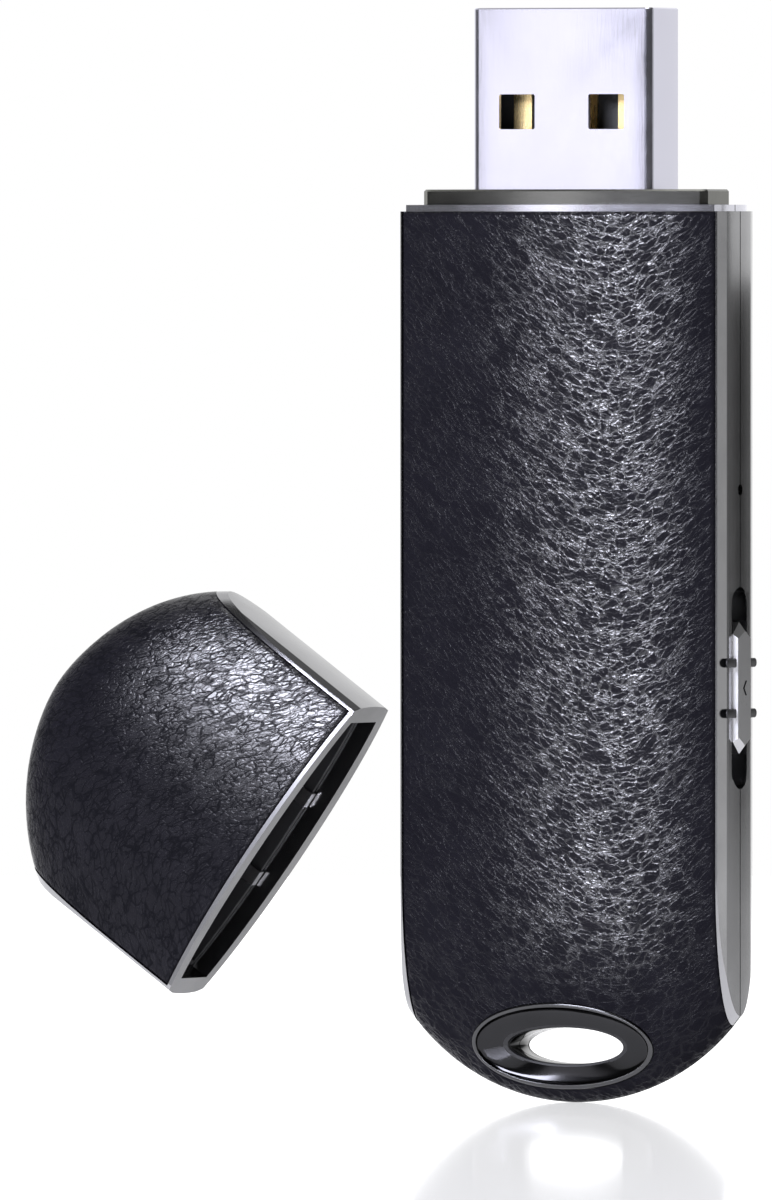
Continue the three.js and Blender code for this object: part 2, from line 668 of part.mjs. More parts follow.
// Each lead leaves the top of the cell and bends down to its pad on the board.
function lead(x) {
  const start = CELL_TOP + SEAT_GAP;
  const path = new THREE.CatmullRomCurve3([
    new THREE.Vector3(x, -LEAD_DEPTH, start),
    new THREE.Vector3(x, -LEAD_DEPTH, start + LEAD_RISE / 3),
    new THREE.Vector3(x, -LEAD_DEPTH / 2, start + (2 * LEAD_RISE) / 3),
    new THREE.Vector3(x, -LEAD_RADIUS - CHIP_GAP, start + LEAD_RISE),
  ]);
  const section = new THREE.Shape();
  section.absarc(0, 0, LEAD_RADIUS, 0, 2 * Math.PI, false);
  return solid(
    new THREE.ExtrudeGeometry(section, {
      extrudePath: path,
      steps: LEAD_FACETS,
      curveSegments: LEAD_FACETS / 2,
    }),
  );
}

add(drive, "battery_lead_positive", lead(LEAD_SPREAD / 2), WIRE_RED);
add(drive, "battery_lead_negative", lead(-LEAD_SPREAD / 2), BLACK_PLASTIC);

const microphone = new THREE.CylinderGeometry(
  MICROPHONE_RADIUS,
  MICROPHONE_RADIUS,
  MICROPHONE_LENGTH,
  HOLE_FACETS,
);
microphone.rotateZ(Math.PI / 2);
microphone.translate(
  CAVITY_HALF_WIDTH - SLIDE_GAP - MICROPHONE_LENGTH / 2,
  0,
  PINHOLE_HEIGHT,
);
add(drive, "microphone", solid(microphone), FOIL);

// ---------------------------------------------------------------- slide switch
function switchHousing() {
  const half = SWITCH_THICKNESS / 2;
  const outside = box(
    SWITCH_INNER,
    SWITCH_OUTER,
    -half,
    half,
    SLOT_HEIGHT - SWITCH_HALF_LENGTH,
    SLOT_HEIGHT + SWITCH_HALF_LENGTH,
  );
  const runLength = SWITCH_HALF_LENGTH - SWITCH_WALL;
  const run = ACTUATOR_WIDTH / 2 + SLIDE_GAP;
  return outside.subtract(
    box(SWITCH_INNER + SWITCH_WALL, FAR, -run, run, SLOT_HEIGHT - runLength, SLOT_HEIGHT + runLength),
  );
}

function actuator(grow) {
  return box(
    SWITCH_INNER + SWITCH_WALL + SLIDE_GAP,
    ACTUATOR_TIP + grow,
    -ACTUATOR_WIDTH / 2 - grow,
    ACTUATOR_WIDTH / 2 + grow,
    SLOT_HEIGHT - ACTUATOR_LENGTH / 2 - grow,
    SLOT_HEIGHT + ACTUATOR_LENGTH / 2 + grow,
  );
}

// The knob's outline in the slot: straight sides and pointed ends.
function knobShape() {
  const half = KNOB_WIDTH / 2;
  const tip = KNOB_LENGTH / 2;
  const shape = new THREE.Shape();
  shape.moveTo(half, SLOT_HEIGHT - tip + KNOB_POINT);
  shape.lineTo(half, SLOT_HEIGHT + tip - KNOB_POINT);
  shape.lineTo(0, SLOT_HEIGHT + tip);
  shape.lineTo(-half, SLOT_HEIGHT + tip - KNOB_POINT);
  shape.lineTo(-half, SLOT_HEIGHT - tip + KNOB_POINT);
  shape.lineTo(0, SLOT_HEIGHT - tip);
  return shape;
}

// A cross rib, rounded at its ends, just clear of the band on both sides of the slot.
function knobRib(height) {
  const straight = RIB_LENGTH / 2 - RIB_WIDTH / 2;
  const shape = new THREE.Shape();
  shape.absarc(straight, height, RIB_WIDTH / 2, -Math.PI / 2, Math.PI / 2, false);
  shape.absarc(-straight, height, RIB_WIDTH / 2, Math.PI / 2, 1.5 * Math.PI, false);
  return sidePrism(shape, BAND_CREST + SEAT_GAP, BAND_CREST + RIB_TOP, RIB_FACETS);
}

function slideKnob() {
  let body = sidePrism(knobShape(), BACKING_OUTER + SEAT_GAP, BAND_CREST + KNOB_PROUD);
  for (const end of [-1, 1]) {
    body = body.add(knobRib(SLOT_HEIGHT + (end * RIB_SPREAD) / 2));
    const side = 2 * OVERCUT;
    const ramp = new THREE.BoxGeometry(side, KNOB_WIDTH + OVERCUT, side);
    ramp.translate(side / 2, 0, (end * side) / 2);
    ramp.rotateY(-end * KNOB_RAMP);
    ramp.translate(BAND_CREST - KNOB_RAMP_FOOT, 0, SLOT_HEIGHT + (end * KNOB_LENGTH) / 2);
    body = body.subtract(solid(ramp));
  }
  return body.subtract(actuator(SEAT_GAP));
}

function backingPlate() {
  return box(
    BACKING_INNER,
    BACKING_OUTER,
    -BACKING_WIDTH / 2,
    BACKING_WIDTH / 2,
    SLOT_HEIGHT - BACKING_HALF_LENGTH,
    SLOT_HEIGHT + BACKING_HALF_LENGTH,
  ).subtract(actuator(SEAT_GAP));
}

add(drive, "switch_housing", switchHousing(), BLACK_PLASTIC);
add(drive, "switch_actuator", actuator(0), BLACK_PLASTIC);
add(drive, "slide_backing_plate", backingPlate(), BLACK_PLASTIC);
add(drive, "slide_knob", slideKnob(), GREY_PLASTIC);

// ---------------------------------------------------------------- cap
// The cap is the same form, so it is made with its round end at height 0 and its mouth at
// CAP_LENGTH, and turned over when it is placed.
const capBox = (halfWidth) => box(-halfWidth, halfWidth, -FAR, FAR, -OVERCUT, FAR);

// The room that the plug takes up in the cap when it is on.
const plugRoom = box(
  -plugHalfWidth - PLUG_ROOM,
  plugHalfWidth + PLUG_ROOM,
  -plugHalfDepth - PLUG_ROOM,
  plugHalfDepth + PLUG_ROOM,
  CAP_LENGTH - PLUG_REACH - LINER_RECESS_ROOM,
  FAR,
);
const capFrame = capsule(0, CAP_LENGTH, CAP_END)
  .intersect(band(0, -OVERCUT, FAR))
  .subtract(leatherRoom(CAP_LEATHER_TOP, CAP_END))
  .subtract(capsule(CAP_INSIDE, FAR, CAP_END).intersect(capBox(CAVITY_HALF_WIDTH)))
  .subtract(plugRoom);
const capLiner = capsule(LINER_OUTSIDE, LINER_EDGE, CAP_END)
  .intersect(capBox(LINER_HALF_WIDTH))
  .subtract(capsule(LINER_INSIDE, FAR, CAP_END).intersect(capBox(LINER_HALF_WIDTH - LINER_WALL)))
  .subtract(plugRoom);
add(cap, "cap_frame", capFrame, GUNMETAL);
add(cap, "cap_liner", capLiner, BLACK_PLASTIC);
for (const [name, side] of [["front", FRONT], ["back", BACK]]) {
  add(cap, "cap_" + name + "_leather", leatherSkin(side, CAP_LEATHER_TOP, CAP_END), LEATHER_BLACK);
}

// A grip is a spring strip that lies along the liner's back wall, is hooked over the liner's edge,
// and has a bump that drops into a window of the plug.
function grip(x) {
  const inner = plugHalfDepth + SEAT_GAP;
  const outer = inner + GRIP_THICKNESS;
  const left = x - GRIP_WIDTH / 2;
  const right = x + GRIP_WIDTH / 2;
  const windowMiddle = CAP_LENGTH - PLUG_REACH + WINDOW_DROP;
  const bumpStart = windowMiddle - GRIP_BUMP_LENGTH / 2;
  const hookFoot = LINER_EDGE + SEAT_GAP;
  const hookTop = hookFoot + GRIP_HOOK;
  const strip = box(left, right, inner, outer, windowMiddle - GRIP_TAIL, hookTop);
  const bump = box(left, right, inner - GRIP_BUMP, outer, bumpStart, bumpStart + GRIP_BUMP_LENGTH);
  const hook = box(left, right, inner, outer + GRIP_HOOK_REACH, hookFoot, hookTop);
  return strip.add(bump).add(hook);
}

add(cap, "cap_grip_left", grip(-WINDOW_OFFSET), STEEL);
add(cap, "cap_grip_right", grip(WINDOW_OFFSET), STEEL);
for (const piece of cap.children) {
  piece.geometry.translate(0, 0, -CAP_LENGTH);
  piece.geometry.rotateY(Math.PI);
}
cap.position.set(CAP_MOUTH.x, 0, CAP_MOUTH.z);
cap.rotation.y = -TILT;

// ---------------------------------------------------------------- whole part
// The part's own origin is under the middle of drive and cap together, at the lowest point.
const part = new THREE.Group();
part.add(drive, cap);
const bounds = new THREE.Box3().setFromObject(part, true);
const middle = bounds.getCenter(new THREE.Vector3());
for (const group of [drive, cap]) {
  group.position.x -= middle.x;
  group.position.y -= middle.y;
  group.position.z -= bounds.min.z;
}

export default part;
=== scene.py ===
"""Looks for a flash drive with leather faces: leather, metal, plug, switch, cap and studio."""
import json
import math

import bmesh
import bpy
import numpy as np
from mathutils import Matrix, Vector


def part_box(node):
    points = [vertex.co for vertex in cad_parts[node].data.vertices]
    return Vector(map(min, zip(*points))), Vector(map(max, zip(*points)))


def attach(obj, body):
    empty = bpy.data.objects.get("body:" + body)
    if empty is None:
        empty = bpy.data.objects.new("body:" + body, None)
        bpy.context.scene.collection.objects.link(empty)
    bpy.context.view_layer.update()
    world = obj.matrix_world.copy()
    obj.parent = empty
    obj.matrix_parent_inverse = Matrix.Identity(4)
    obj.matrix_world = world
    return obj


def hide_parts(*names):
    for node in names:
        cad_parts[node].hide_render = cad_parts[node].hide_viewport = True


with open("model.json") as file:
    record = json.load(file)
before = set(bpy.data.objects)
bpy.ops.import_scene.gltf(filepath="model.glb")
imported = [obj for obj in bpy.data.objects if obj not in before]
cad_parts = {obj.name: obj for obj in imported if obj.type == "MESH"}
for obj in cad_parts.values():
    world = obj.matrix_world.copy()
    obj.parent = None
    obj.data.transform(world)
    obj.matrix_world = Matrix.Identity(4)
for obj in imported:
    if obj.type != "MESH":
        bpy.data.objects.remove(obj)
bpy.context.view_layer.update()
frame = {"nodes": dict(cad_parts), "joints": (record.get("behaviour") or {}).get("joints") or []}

MM = 0.001
PER_MM = 1000.0


# ---------------------------------------------------------------- sizes read from the frame, in mm
def box_mm(node):
    low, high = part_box(node)
    return np.array(low) / MM, np.array(high) / MM


def middle_height(node):
    low, high = box_mm(node)
    return (low[2] + high[2]) / 2


plug_low, plug_high = box_mm("plug_shell")
AXIS = (plug_low[0] + plug_high[0]) / 2
BASE = box_mm("front_leather")[0][2]
LENGTH = box_mm("front_frame")[1][2] - BASE
COLLAR_TOP = box_mm("collar")[1][2] - BASE
PLUG_TIP = plug_high[2] - BASE
PLUG_BOTTOM = plug_low[2] - BASE
PLUG_HALF_WIDTH, PLUG_HALF_DEPTH, _ = (plug_high - plug_low) / 2
SWITCH_HEIGHT = middle_height("slide_backing_plate") - BASE
PINHOLE_HEIGHT = middle_height("microphone") - BASE
KNOB_FOOT = box_mm("slide_backing_plate")[1][0] - AXIS + 0.05

# The angle over which an edge of each kind of piece stays sharp, in degrees.
FRAME_SHARP, KNOB_SHARP, PLUG_SHARP, TRIM_SHARP, LEATHER_SHARP = 8, 20, 25, 40, 55

# ---------------------------------------------------------------- sizes of the finished shapes, in mm
# The form: a lens in section, with a round end, trimmed at its sides by the band.
HALF_WIDTH = 11.0
HALF_THICKNESS = 4.2
DRIVE_END = {"radius": 13.9, "fullness": 2.0}
CAP_END = {"radius": 13.4, "fullness": 3.2}
BEYOND = 9.0  # past both faces, for the tools that cut
FINE_FORM = (192, 48)  # points round and rings up the end
PLAIN_FORM = (96, 24)

# The band: a crowned crest with a bevel at each edge.
BAND_CROWN = 0.36
BAND_CREST_DROP = 0.1
BAND_CREST_SHARE = 0.68
BAND_CREST_POINTS = 17
BAND_EDGE = HALF_WIDTH - BAND_CROWN

# The frames and what they hold.
RIM_HEIGHT = 0.4
RIM_INSET = 0.35
CAP_RIM_HEIGHT = 0.25
SHOULDER = LENGTH - RIM_HEIGHT
PARTING_GAP = 0.05
CAVITY_EDGE = HALF_WIDTH - 1.2
CAVITY_INSET = 1.5
CAVITY_FLOOR = 7.0
CAP_WALL = 0.42
LINER_INSET = 1.15
LINER_GAP = 0.05
LINER_WALL = 0.35
LINER_BEHIND_COLLAR = 0.25

# The leather.
LEATHER = 0.6
GLUE = 0.08
LEATHER_EDGE = BAND_EDGE - 0.14
LEATHER_SIDE_GAP = 0.03
LEATHER_TOP_GAP = 0.04
LEATHER_ROOM_PROUD = 0.5
GRAIN_PITCH = 0.14
GRAIN_SUNK = 0.04
GRAIN_FADE = 0.8
FIRST_ROW = 0.35  # of a row's pitch, so that the pole has no point
EDGE_ROLL = 0.3
EDGE_DROP = 0.16
CREASE_MIDDLE = 4.5  # where the creases sag lowest

# The lanyard ring: half sizes across and up, then depths from the middle of the drive.
EYELET_HEIGHT = 3.5
EYELET_PROUD = 0.1
EYELET_GAP = 0.03
EYELET_SEAT_INSET = 0.4
LIP = np.array([6.05, 2.675])
LIP_FOOT = 0.5
LIP_BURIED = 1.0
LIP_ROUND = 0.1
LIP_OUTER = 0.12
LIP_INNER = 0.14
LIP_STEPS = 6
DISH_INSET = 0.3
DISH_STEPS = 20
DISH_ROUNDNESS = 0.985
WAIST = np.array([3.875, 1.175])
WAIST_DEPTH = 1.65
WAIST_GROOVE = ((0.0, -0.02), (-0.02, -0.05), (-0.02, -0.22), (-0.05, -0.3))
WAIST_WALL = 1.0
AT_PARTING = -5.0  # a depth that the parting gap limits
# Painted shade along the thin groove at the waist: the depths that are painted black.
GROOVE_PAINTED_SHADE = (-0.27, 0.05)  # from the waist's depth

# The side slot, its milled pad and the microphone's pinhole.
SIDE_REACH = (9.0, 12.0)
SLOT_LENGTH, SLOT_WIDTH = 12.4, 2.34
PAD_DEPTH = 0.07
PAD_HALF_WIDTH = 1.86
PAD_BELOW, PAD_ABOVE = 5.6, 5.9
PINHOLE_RADIUS = 0.35

# The collar and the plug.
COLLAR_INSET = 1.3
COLLAR_HALF_WIDTH = 9.54
COLLAR_CORNER = 0.4
COLLAR_CHAMFER = 0.12
SPIGOT_INSET = 1.55
SPIGOT_DEPTH = 2.2
SPIGOT_OVERLAP = 0.4
PASSAGE = (6.05, 2.3)
PLUG_CORNER = 0.45
PLUG_CHAMFER = 0.08
PLUG_WALL = 0.3
PLUG_INNER_CORNER = 0.3
WINDOW_OFFSET = 3.0
WINDOW_BELOW_TIP = 6.38
WINDOW_HALF = (1.2, 1.075)
WINDOW_CORNER = 0.12
SEAM_HALF_WIDTH = 0.03
SEAM_DEPTH = 0.08

# The slide knob, its mark and its ribs.
KNOB_HALF = (0.95, 4.05)
KNOB_PROUD = 0.32
KNOB_POINT = 0.75
# Each ring above the foot: rise over the band's crest, how much narrower and shorter, and its point.
KNOB_RINGS = ((-0.08, 0.0, 0.0, KNOB_POINT), (0.26, 0.0, 0.46, 0.5), (KNOB_PROUD, 0.05, 0.54, 0.46))
MARK_HALF = (0.3, 0.45)
MARK_STROKE = 0.24
MARK_DEPTH = 0.12
RIB_LENGTH, RIB_WIDTH = 4.5, 0.56
RIB_OFFSET = 1.55
RIB_PROFILE = ((0.03, 0.0), (0.1, 0.0), (0.14, 0.03), (0.16, 0.09))  # lift, then how far drawn in


# ---------------------------------------------------------------- where drive and cap stand
drive_place = Matrix.Translation(Vector((AXIS, 0, BASE)) * MM)


def cap_placing():
    """The cap's own frame: its round end at height 0 and its mouth at CAP_LENGTH."""
    away = next(Vector(j["axis"]) for j in frame["joints"] if j["name"] == "cap_pull").normalized()
    along = Vector((away.z, 0, -away.x))
    points = np.array([v.co for v in frame["nodes"]["cap_frame"].data.vertices]) / MM
    depth = points @ np.array(away)
    across = points @ np.array(along)
    mouth = depth.min()
    rim = 0.05
    at_mouth = across[depth < mouth + rim]
    middle = (at_mouth.min() + at_mouth.max()) / 2
    length = depth.max() - mouth
    end = (away * (mouth + length) + along * middle) * MM
    turn = Matrix((-along, Vector((0, 1, 0)), -away)).transposed().to_4x4()
    return Matrix.Translation(end) @ turn, length


cap_place, CAP_LENGTH = cap_placing()


# ---------------------------------------------------------------- mesh tools
def new_object(name, mesh, place):
    made = bpy.data.objects.new(name, mesh)
    bpy.context.scene.collection.objects.link(made)
    made.matrix_world = place
    return made


def mesh_from(name, vertices, faces):
    mesh = bpy.data.meshes.new(name)
    mesh.from_pydata((np.asarray(vertices) * MM).tolist(), [], faces)
    mesh.validate()
    return mesh


def loft(name, rings, place, closed=False):
    """A skin over closed loops of the same number of points, with flat ends or joined end to end."""
    count, size = len(rings), len(rings[0])
    vertices = np.concatenate(rings)
    faces = []
    for i in range(count if closed else count - 1):
        here, there = i * size, (i + 1) % count * size
        for j in range(size):
            k = (j + 1) % size
            faces.append((here + j, here + k, there + k, there + j))
    if not closed:
        faces.append(tuple(range(size))[::-1])
        faces.append(tuple(range((count - 1) * size, count * size)))
    mesh = mesh_from(name, vertices, faces)
    bm = bmesh.new()
    bm.from_mesh(mesh)
    bmesh.ops.remove_doubles(bm, verts=bm.verts, dist=1e-7)
    bmesh.ops.recalc_face_normals(bm, faces=bm.faces)
    bm.to_mesh(mesh)
    bm.free()
    return new_object(name, mesh, place)


def prism(name, outline, bottom, top, place, chamfer=0.0):
    """An outline in X and Y raised from bottom to top, its upper edge drawn in by a chamfer."""
    outline = np.asarray(outline, float)
    flat = np.zeros(len(outline))

    def ring(points, height):
        return np.column_stack([points, flat + height])

    rings = [ring(outline, bottom)]
    if chamfer:
        rings.append(ring(outline, top - chamfer))
        rings.append(ring(drawn_in(outline, chamfer), top))
    else:
        rings.append(ring(outline, top))
    return loft(name, rings, place)


def drawn_in(outline, amount):
    """An outline drawn in by an amount, for convex outlines that run anticlockwise."""
    before = np.roll(outline, 1, axis=0)
    after = np.roll(outline, -1, axis=0)
    run = after - before
    run /= np.linalg.norm(run, axis=1)[:, None]
    return outline + np.column_stack([-run[:, 1], run[:, 0]]) * amount


def apply(obj):
    """Bakes the object's modifiers into its mesh."""
    graph = bpy.context.evaluated_depsgraph_get()
    made = bpy.data.meshes.new_from_object(obj.evaluated_get(graph))
    obj.modifiers.clear()
    old, obj.data = obj.data, made
    bpy.data.meshes.remove(old)
    return obj


def boolean(body, tool, operation):
    step = body.modifiers.new("boolean", "BOOLEAN")
    step.object = tool
    step.operation = operation
    step.solver = "MANIFOLD"
    apply(body)
    bpy.data.objects.remove(tool)
    return body


def cut(body, *tools):
    for tool in tools:
        boolean(body, tool, "DIFFERENCE")
    return body


def keep(body, tool):
    return boolean(body, tool, "INTERSECT")


def join(body, *tools):
    for tool in tools:
        boolean(body, tool, "UNION")
    return body


def block(x0, x1, y0, y1, z0, z1, place):
    outline = [(x0, y0), (x1, y0), (x1, y1), (x0, y1)]
    return prism("block", outline, z0, z1, place)


def smooth(obj, angle):
    """Smooth shading that keeps edges over an angle sharp."""
    obj.data.shade_smooth()
    obj.data.set_sharp_from_angle(angle=math.radians(angle))
    return obj


def finish(obj, *names):
    """Gives the object these materials, in the order of its faces' indices."""
    obj.data.materials.clear()
    for name in names:
        obj.data.materials.append(materials[name])


# ---------------------------------------------------------------- the form of drive and cap
def form_radius(z, inset, end):
    below = np.maximum(end["radius"] - z, 0) / (end["radius"] - inset)
    return (end["radius"] - inset) * np.sqrt(np.maximum(1 - below**2, 0))


def form_middle(z, inset, end):
    """Half the thickness at the middle of the face."""
    below = np.maximum(end["radius"] - z, 0) / (end["radius"] - inset)
    power = end["fullness"]
    return (HALF_THICKNESS - inset) * np.maximum(1 - below**power, 0) ** (1 / power)


def form_depth(x, z, inset, end):
    """Half the thickness at a place on the face."""
    radius = np.maximum(form_radius(z, inset, end), 1e-6)
    return form_middle(z, inset, end) * np.sqrt(np.maximum(1 - (x / radius) ** 2, 0))


def form(inset, top, end, place, detail=FINE_FORM):
    """The whole form as a closed solid, drawn in by an inset."""
    segments, steps = detail
    turn = np.arange(segments) / segments * 2 * math.pi
    rings = []
    nearly_pole = 0.012
    angles = np.linspace(nearly_pole, 1, steps) * math.pi / 2
    heights = end["radius"] - (end["radius"] - inset) * np.cos(angles)
    for z in [*heights, top]:
        radius = form_radius(z, inset, end)
        middle = form_middle(z, inset, end)
        ring = np.column_stack([radius * np.cos(turn), middle * np.sin(turn), np.full(segments, z)])
        rings.append(ring)
    return loft("form", rings, place)


def band_outline(inset):
    """The trimming block's outline: crowned sides with a flatter crest and a bevel at each edge."""
    depth = form_depth(BAND_EDGE, DRIVE_END["radius"], 0, DRIVE_END)
    shoulder = depth * BAND_CREST_SHARE
    crest = []
    for y in np.linspace(-shoulder, shoulder, BAND_CREST_POINTS):
        crest.append((HALF_WIDTH - BAND_CREST_DROP * (y / shoulder) ** 2 - inset, y))
    away = HALF_THICKNESS + 1
    slope = (BAND_CROWN - BAND_CREST_DROP) / (depth - shoulder)
    beyond = BAND_EDGE - inset - slope * (away - depth)
    right = [(beyond, -away), *crest, (beyond, away)]
    return [*right, *[(-x, -y) for x, y in right]]


def ellipse(a, b, count, x=0.0, y=0.0):
    turn = np.arange(count) / count * 2 * math.pi
    return np.column_stack([x + a * np.cos(turn), y + b * np.sin(turn)])


def half_space(side, gap, place):
    far = 60.0
    low, high = (-far, -gap) if side < 0 else (gap, far)
    return block(-far, far, low, high, -far, 2 * far, place)


# ---------------------------------------------------------------- lanyard rings
def eyelet_lean():
    """How far the skin goes out for each mm up, at the ring's height."""
    step = 0.5
    above = form_middle(EYELET_HEIGHT + step, 0, DRIVE_END)
    below = form_middle(EYELET_HEIGHT - step, 0, DRIVE_END)
    return (above - below) / (2 * step)


def lanyard_ring(name, side):
    """A dished ring: a rounded lip on the leather, a concave wall, a thin groove and the waist."""
    lean = eyelet_lean()
    rim_depth = form_middle(EYELET_HEIGHT, 0, DRIVE_END) + EYELET_PROUD
    turn = np.arange(128) / 128 * 2 * math.pi
    rings = []

    def ring(size, depth, follow):
        """One loop, laid on the plane of the ring or, as far as follow says, on the drive's skin."""
        x = size[0] * np.cos(turn)
        up = size[1] * np.sin(turn)
        plane = depth + lean * up
        skin = form_depth(x, EYELET_HEIGHT + up, 0, DRIVE_END) + EYELET_PROUD + (depth - rim_depth)
        y = plane * (1 - follow) + np.minimum(plane, skin) * follow
        rings.append(np.column_stack([x, side * np.maximum(y, PARTING_GAP), EYELET_HEIGHT + up]))

    top = rim_depth - LIP_ROUND
    ring(LIP - LIP_FOOT, rim_depth - LIP_BURIED, 1)
    ring(LIP, rim_depth - LIP_BURIED, 1)
    ring(LIP, top, 1)
    for i in range(LIP_STEPS + 1):
        bend = i / LIP_STEPS * math.pi / 2
        ring(LIP - LIP_OUTER * (1 - math.cos(bend)), top + LIP_ROUND * math.sin(bend), 1)
    for i in range(1, LIP_STEPS + 1):
        bend = i / LIP_STEPS * math.pi / 2
        ring(LIP - LIP_INNER - LIP_INNER * math.sin(bend), rim_depth - LIP_ROUND * (1 - math.cos(bend)), 1)
    mouth = LIP - 2 * LIP_INNER
    for i in range(1, DISH_STEPS + 1):
        t = 1 - i / DISH_STEPS
        rise = 0.5 * t + 0.5 * (1 - math.sqrt(1 - t * t * DISH_ROUNDNESS))
        ring(WAIST + (mouth - WAIST) * t, WAIST_DEPTH + (top - WAIST_DEPTH) * rise, t)
    for wider, deeper in WAIST_GROOVE:
        ring(WAIST + wider, WAIST_DEPTH + deeper, 0)
    ring(WAIST + WAIST_GROOVE[-1][0], AT_PARTING, 0)
    ring(WAIST + WAIST_WALL, AT_PARTING, 0)
    return loft(name, rings, drive_place, closed=True)


def ring_with_painted_shade(ring):
    """Painted shade: the dish is a darker copy of its lip's metal, and the thin groove where it meets the
    waist is painted black, for the shade in the dish and in the groove.
    """
    finish(ring, "dark_metal", "black_plastic", "dish_painted_shade_metal")
    low, high = (WAIST_DEPTH + drop for drop in GROOVE_PAINTED_SHADE)
    across, up = LIP - DISH_INSET
    lean = eyelet_lean()
    for face in ring.data.polygons:
        x, y, z = face.center / MM
        depth = abs(y) - lean * (z - EYELET_HEIGHT)
        if low < depth < high:
            face.material_index = 1
        elif math.hypot(x / across, (z - EYELET_HEIGHT) / up) < 1:
            face.material_index = 2
    return ring


# ---------------------------------------------------------------- leather skins
def cell_noise(points, size, seed):
    """Distance to the nearest cell edge of a jittered grid, 0 in a crease and 1 inside a cell."""
    spread, shift = np.array([127.1, 311.7]), 43758.5453
    crease_width = 0.45
    cells = points / size
    base = np.floor(cells)
    first = np.full(len(points), 9.0)
    second = np.full(len(points), 9.0)
    for dx in range(-2, 3):
        for dz in range(-2, 3):
            corner = base + (dx, dz)
            spin = corner[:, 0] * spread[0] + corner[:, 1] * spread[1] + seed
            jitter = np.column_stack([np.sin(spin), np.sin(spin * 1.7 + 2.3)]) * shift
            centre = corner + jitter - np.floor(jitter)
            gap = np.linalg.norm(cells - centre, axis=1)
            second = np.where(gap < first, first, np.minimum(second, gap))
            first = np.minimum(first, gap)
    return np.clip((second - first) / crease_width, 0, 1)


def wave_noise(points, size, seed, waves=7):
    """A slow, smooth swell between -1 and 1."""
    swell = np.zeros(len(points))
    rng = np.random.default_rng(seed)
    for _ in range(waves):
        heading = rng.uniform(-1, 1, 2)
        heading /= np.linalg.norm(heading)
        phase = rng.uniform(0, 2 * math.pi)
        pitch = size * rng.uniform(0.7, 1.6)
        swell += np.sin(points @ heading * 2 * math.pi / pitch + phase)
    return swell / waves


def crease_height(x, z, seed):
    """Height of the leather's grain in mm: creases that run across and sag in the middle."""
    steepness, roundness, flatness = 0.8, 4.0, 2.0
    sag = steepness * np.sqrt((x - CREASE_MIDDLE) ** 2 + roundness**2)
    flow = np.column_stack([x, (z - sag) * flatness])
    warp = np.column_stack([wave_noise(flow, 3.1, seed), wave_noise(flow, 2.7, seed + 1)]) * 0.55
    wide = cell_noise(flow + warp, 2.1, seed)
    fine = cell_noise(flow + warp * 1.4, 1.05, seed + 5)
    swell = wave_noise(flow, 6.0, seed + 2)
    return 0.012 * np.sqrt(wide) + 0.007 * np.sqrt(fine) + 0.01 * swell


def skin_rows(top, end):
    """Heights of the rows of the leather's grid, even along the round end and then up the face."""
    radius = end["radius"]
    count = int(radius * math.pi / 2 / GRAIN_PITCH)
    rows = [radius * (1 - math.cos(math.pi / 2 * (i + FIRST_ROW) / count)) for i in range(count)]
    straight = max(int((top - radius) / GRAIN_PITCH), 2)
    return rows + list(np.linspace(radius, top, straight))


def skin_depth(x, z, top, end, seed):
    """The grained surface: raised cells, which fade out towards a rolled edge."""
    depth = form_depth(x, z, 0, end)
    far = 9
    to_side = np.where(form_radius(z, 0, end) > LEATHER_EDGE, LEATHER_EDGE - np.abs(x), far)
    to_parting = np.maximum(depth - PARTING_GAP, 0) * 1.5
    to_edge = np.minimum(np.minimum(to_side, top - z), to_parting)
    turned = np.sqrt(np.clip(1 - (1 - to_edge / EDGE_ROLL) ** 2, 0, 1))
    drop = np.where(to_edge < EDGE_ROLL, EDGE_DROP * (1 - turned), 0)
    fade = np.clip(to_edge / GRAIN_FADE, 0, 1)
    raised = crease_height(x, z, seed) - GRAIN_SUNK
    return np.maximum(depth - drop + raised * fade, PARTING_GAP)


def fit_to_eyelet(vertices, x, z, width):
    """Draws the grid in to the ring's outline, and gives the points that fall inside it."""
    reach = 1.12
    hole = LIP + EYELET_GAP
    away = np.hypot(x / hole[0], (z - EYELET_HEIGHT) / hole[1])
    inside = away < 1
    touching = np.zeros_like(inside.reshape(-1, width))
    for rows in (-1, 0, 1):
        for columns in (-1, 0, 1):
            touching |= np.roll(np.roll(inside.reshape(-1, width), rows, 0), columns, 1)
    snap = (away >= 1) & (away < reach) & touching.reshape(-1)
    vertices[snap, 0] = x[snap] / away[snap]
    vertices[snap, 2] = EYELET_HEIGHT + (z[snap] - EYELET_HEIGHT) / away[snap]
    return set(np.nonzero(inside)[0].tolist())


def close_skin(mesh, side, end):
    """Gives the skin its cut side, from its rim down to the glue."""
    bm = bmesh.new()
    bm.from_mesh(mesh)
    bmesh.ops.delete(bm, geom=[v for v in bm.verts if not v.link_faces], context="VERTS")
    rim = [edge for edge in bm.edges if edge.is_boundary]
    made = bmesh.ops.extrude_edge_only(bm, edges=rim)
    for vertex in (g for g in made["geom"] if isinstance(g, bmesh.types.BMVert)):
        x, z = vertex.co.x / MM, vertex.co.z / MM
        under = float(form_depth(np.array([x]), np.array([z]), LEATHER, end)[0])
        vertex.co.y = side * max(under, PARTING_GAP) * MM
    bmesh.ops.remove_doubles(bm, verts=bm.verts, dist=2e-6)
    bmesh.ops.recalc_face_normals(bm, faces=bm.faces)
    bm.normal_update()
    widest = max(bm.faces, key=lambda face: face.calc_area())
    if widest.normal.y * side < 0:
        bmesh.ops.reverse_faces(bm, faces=bm.faces)
    bm.to_mesh(mesh)
    bm.free()


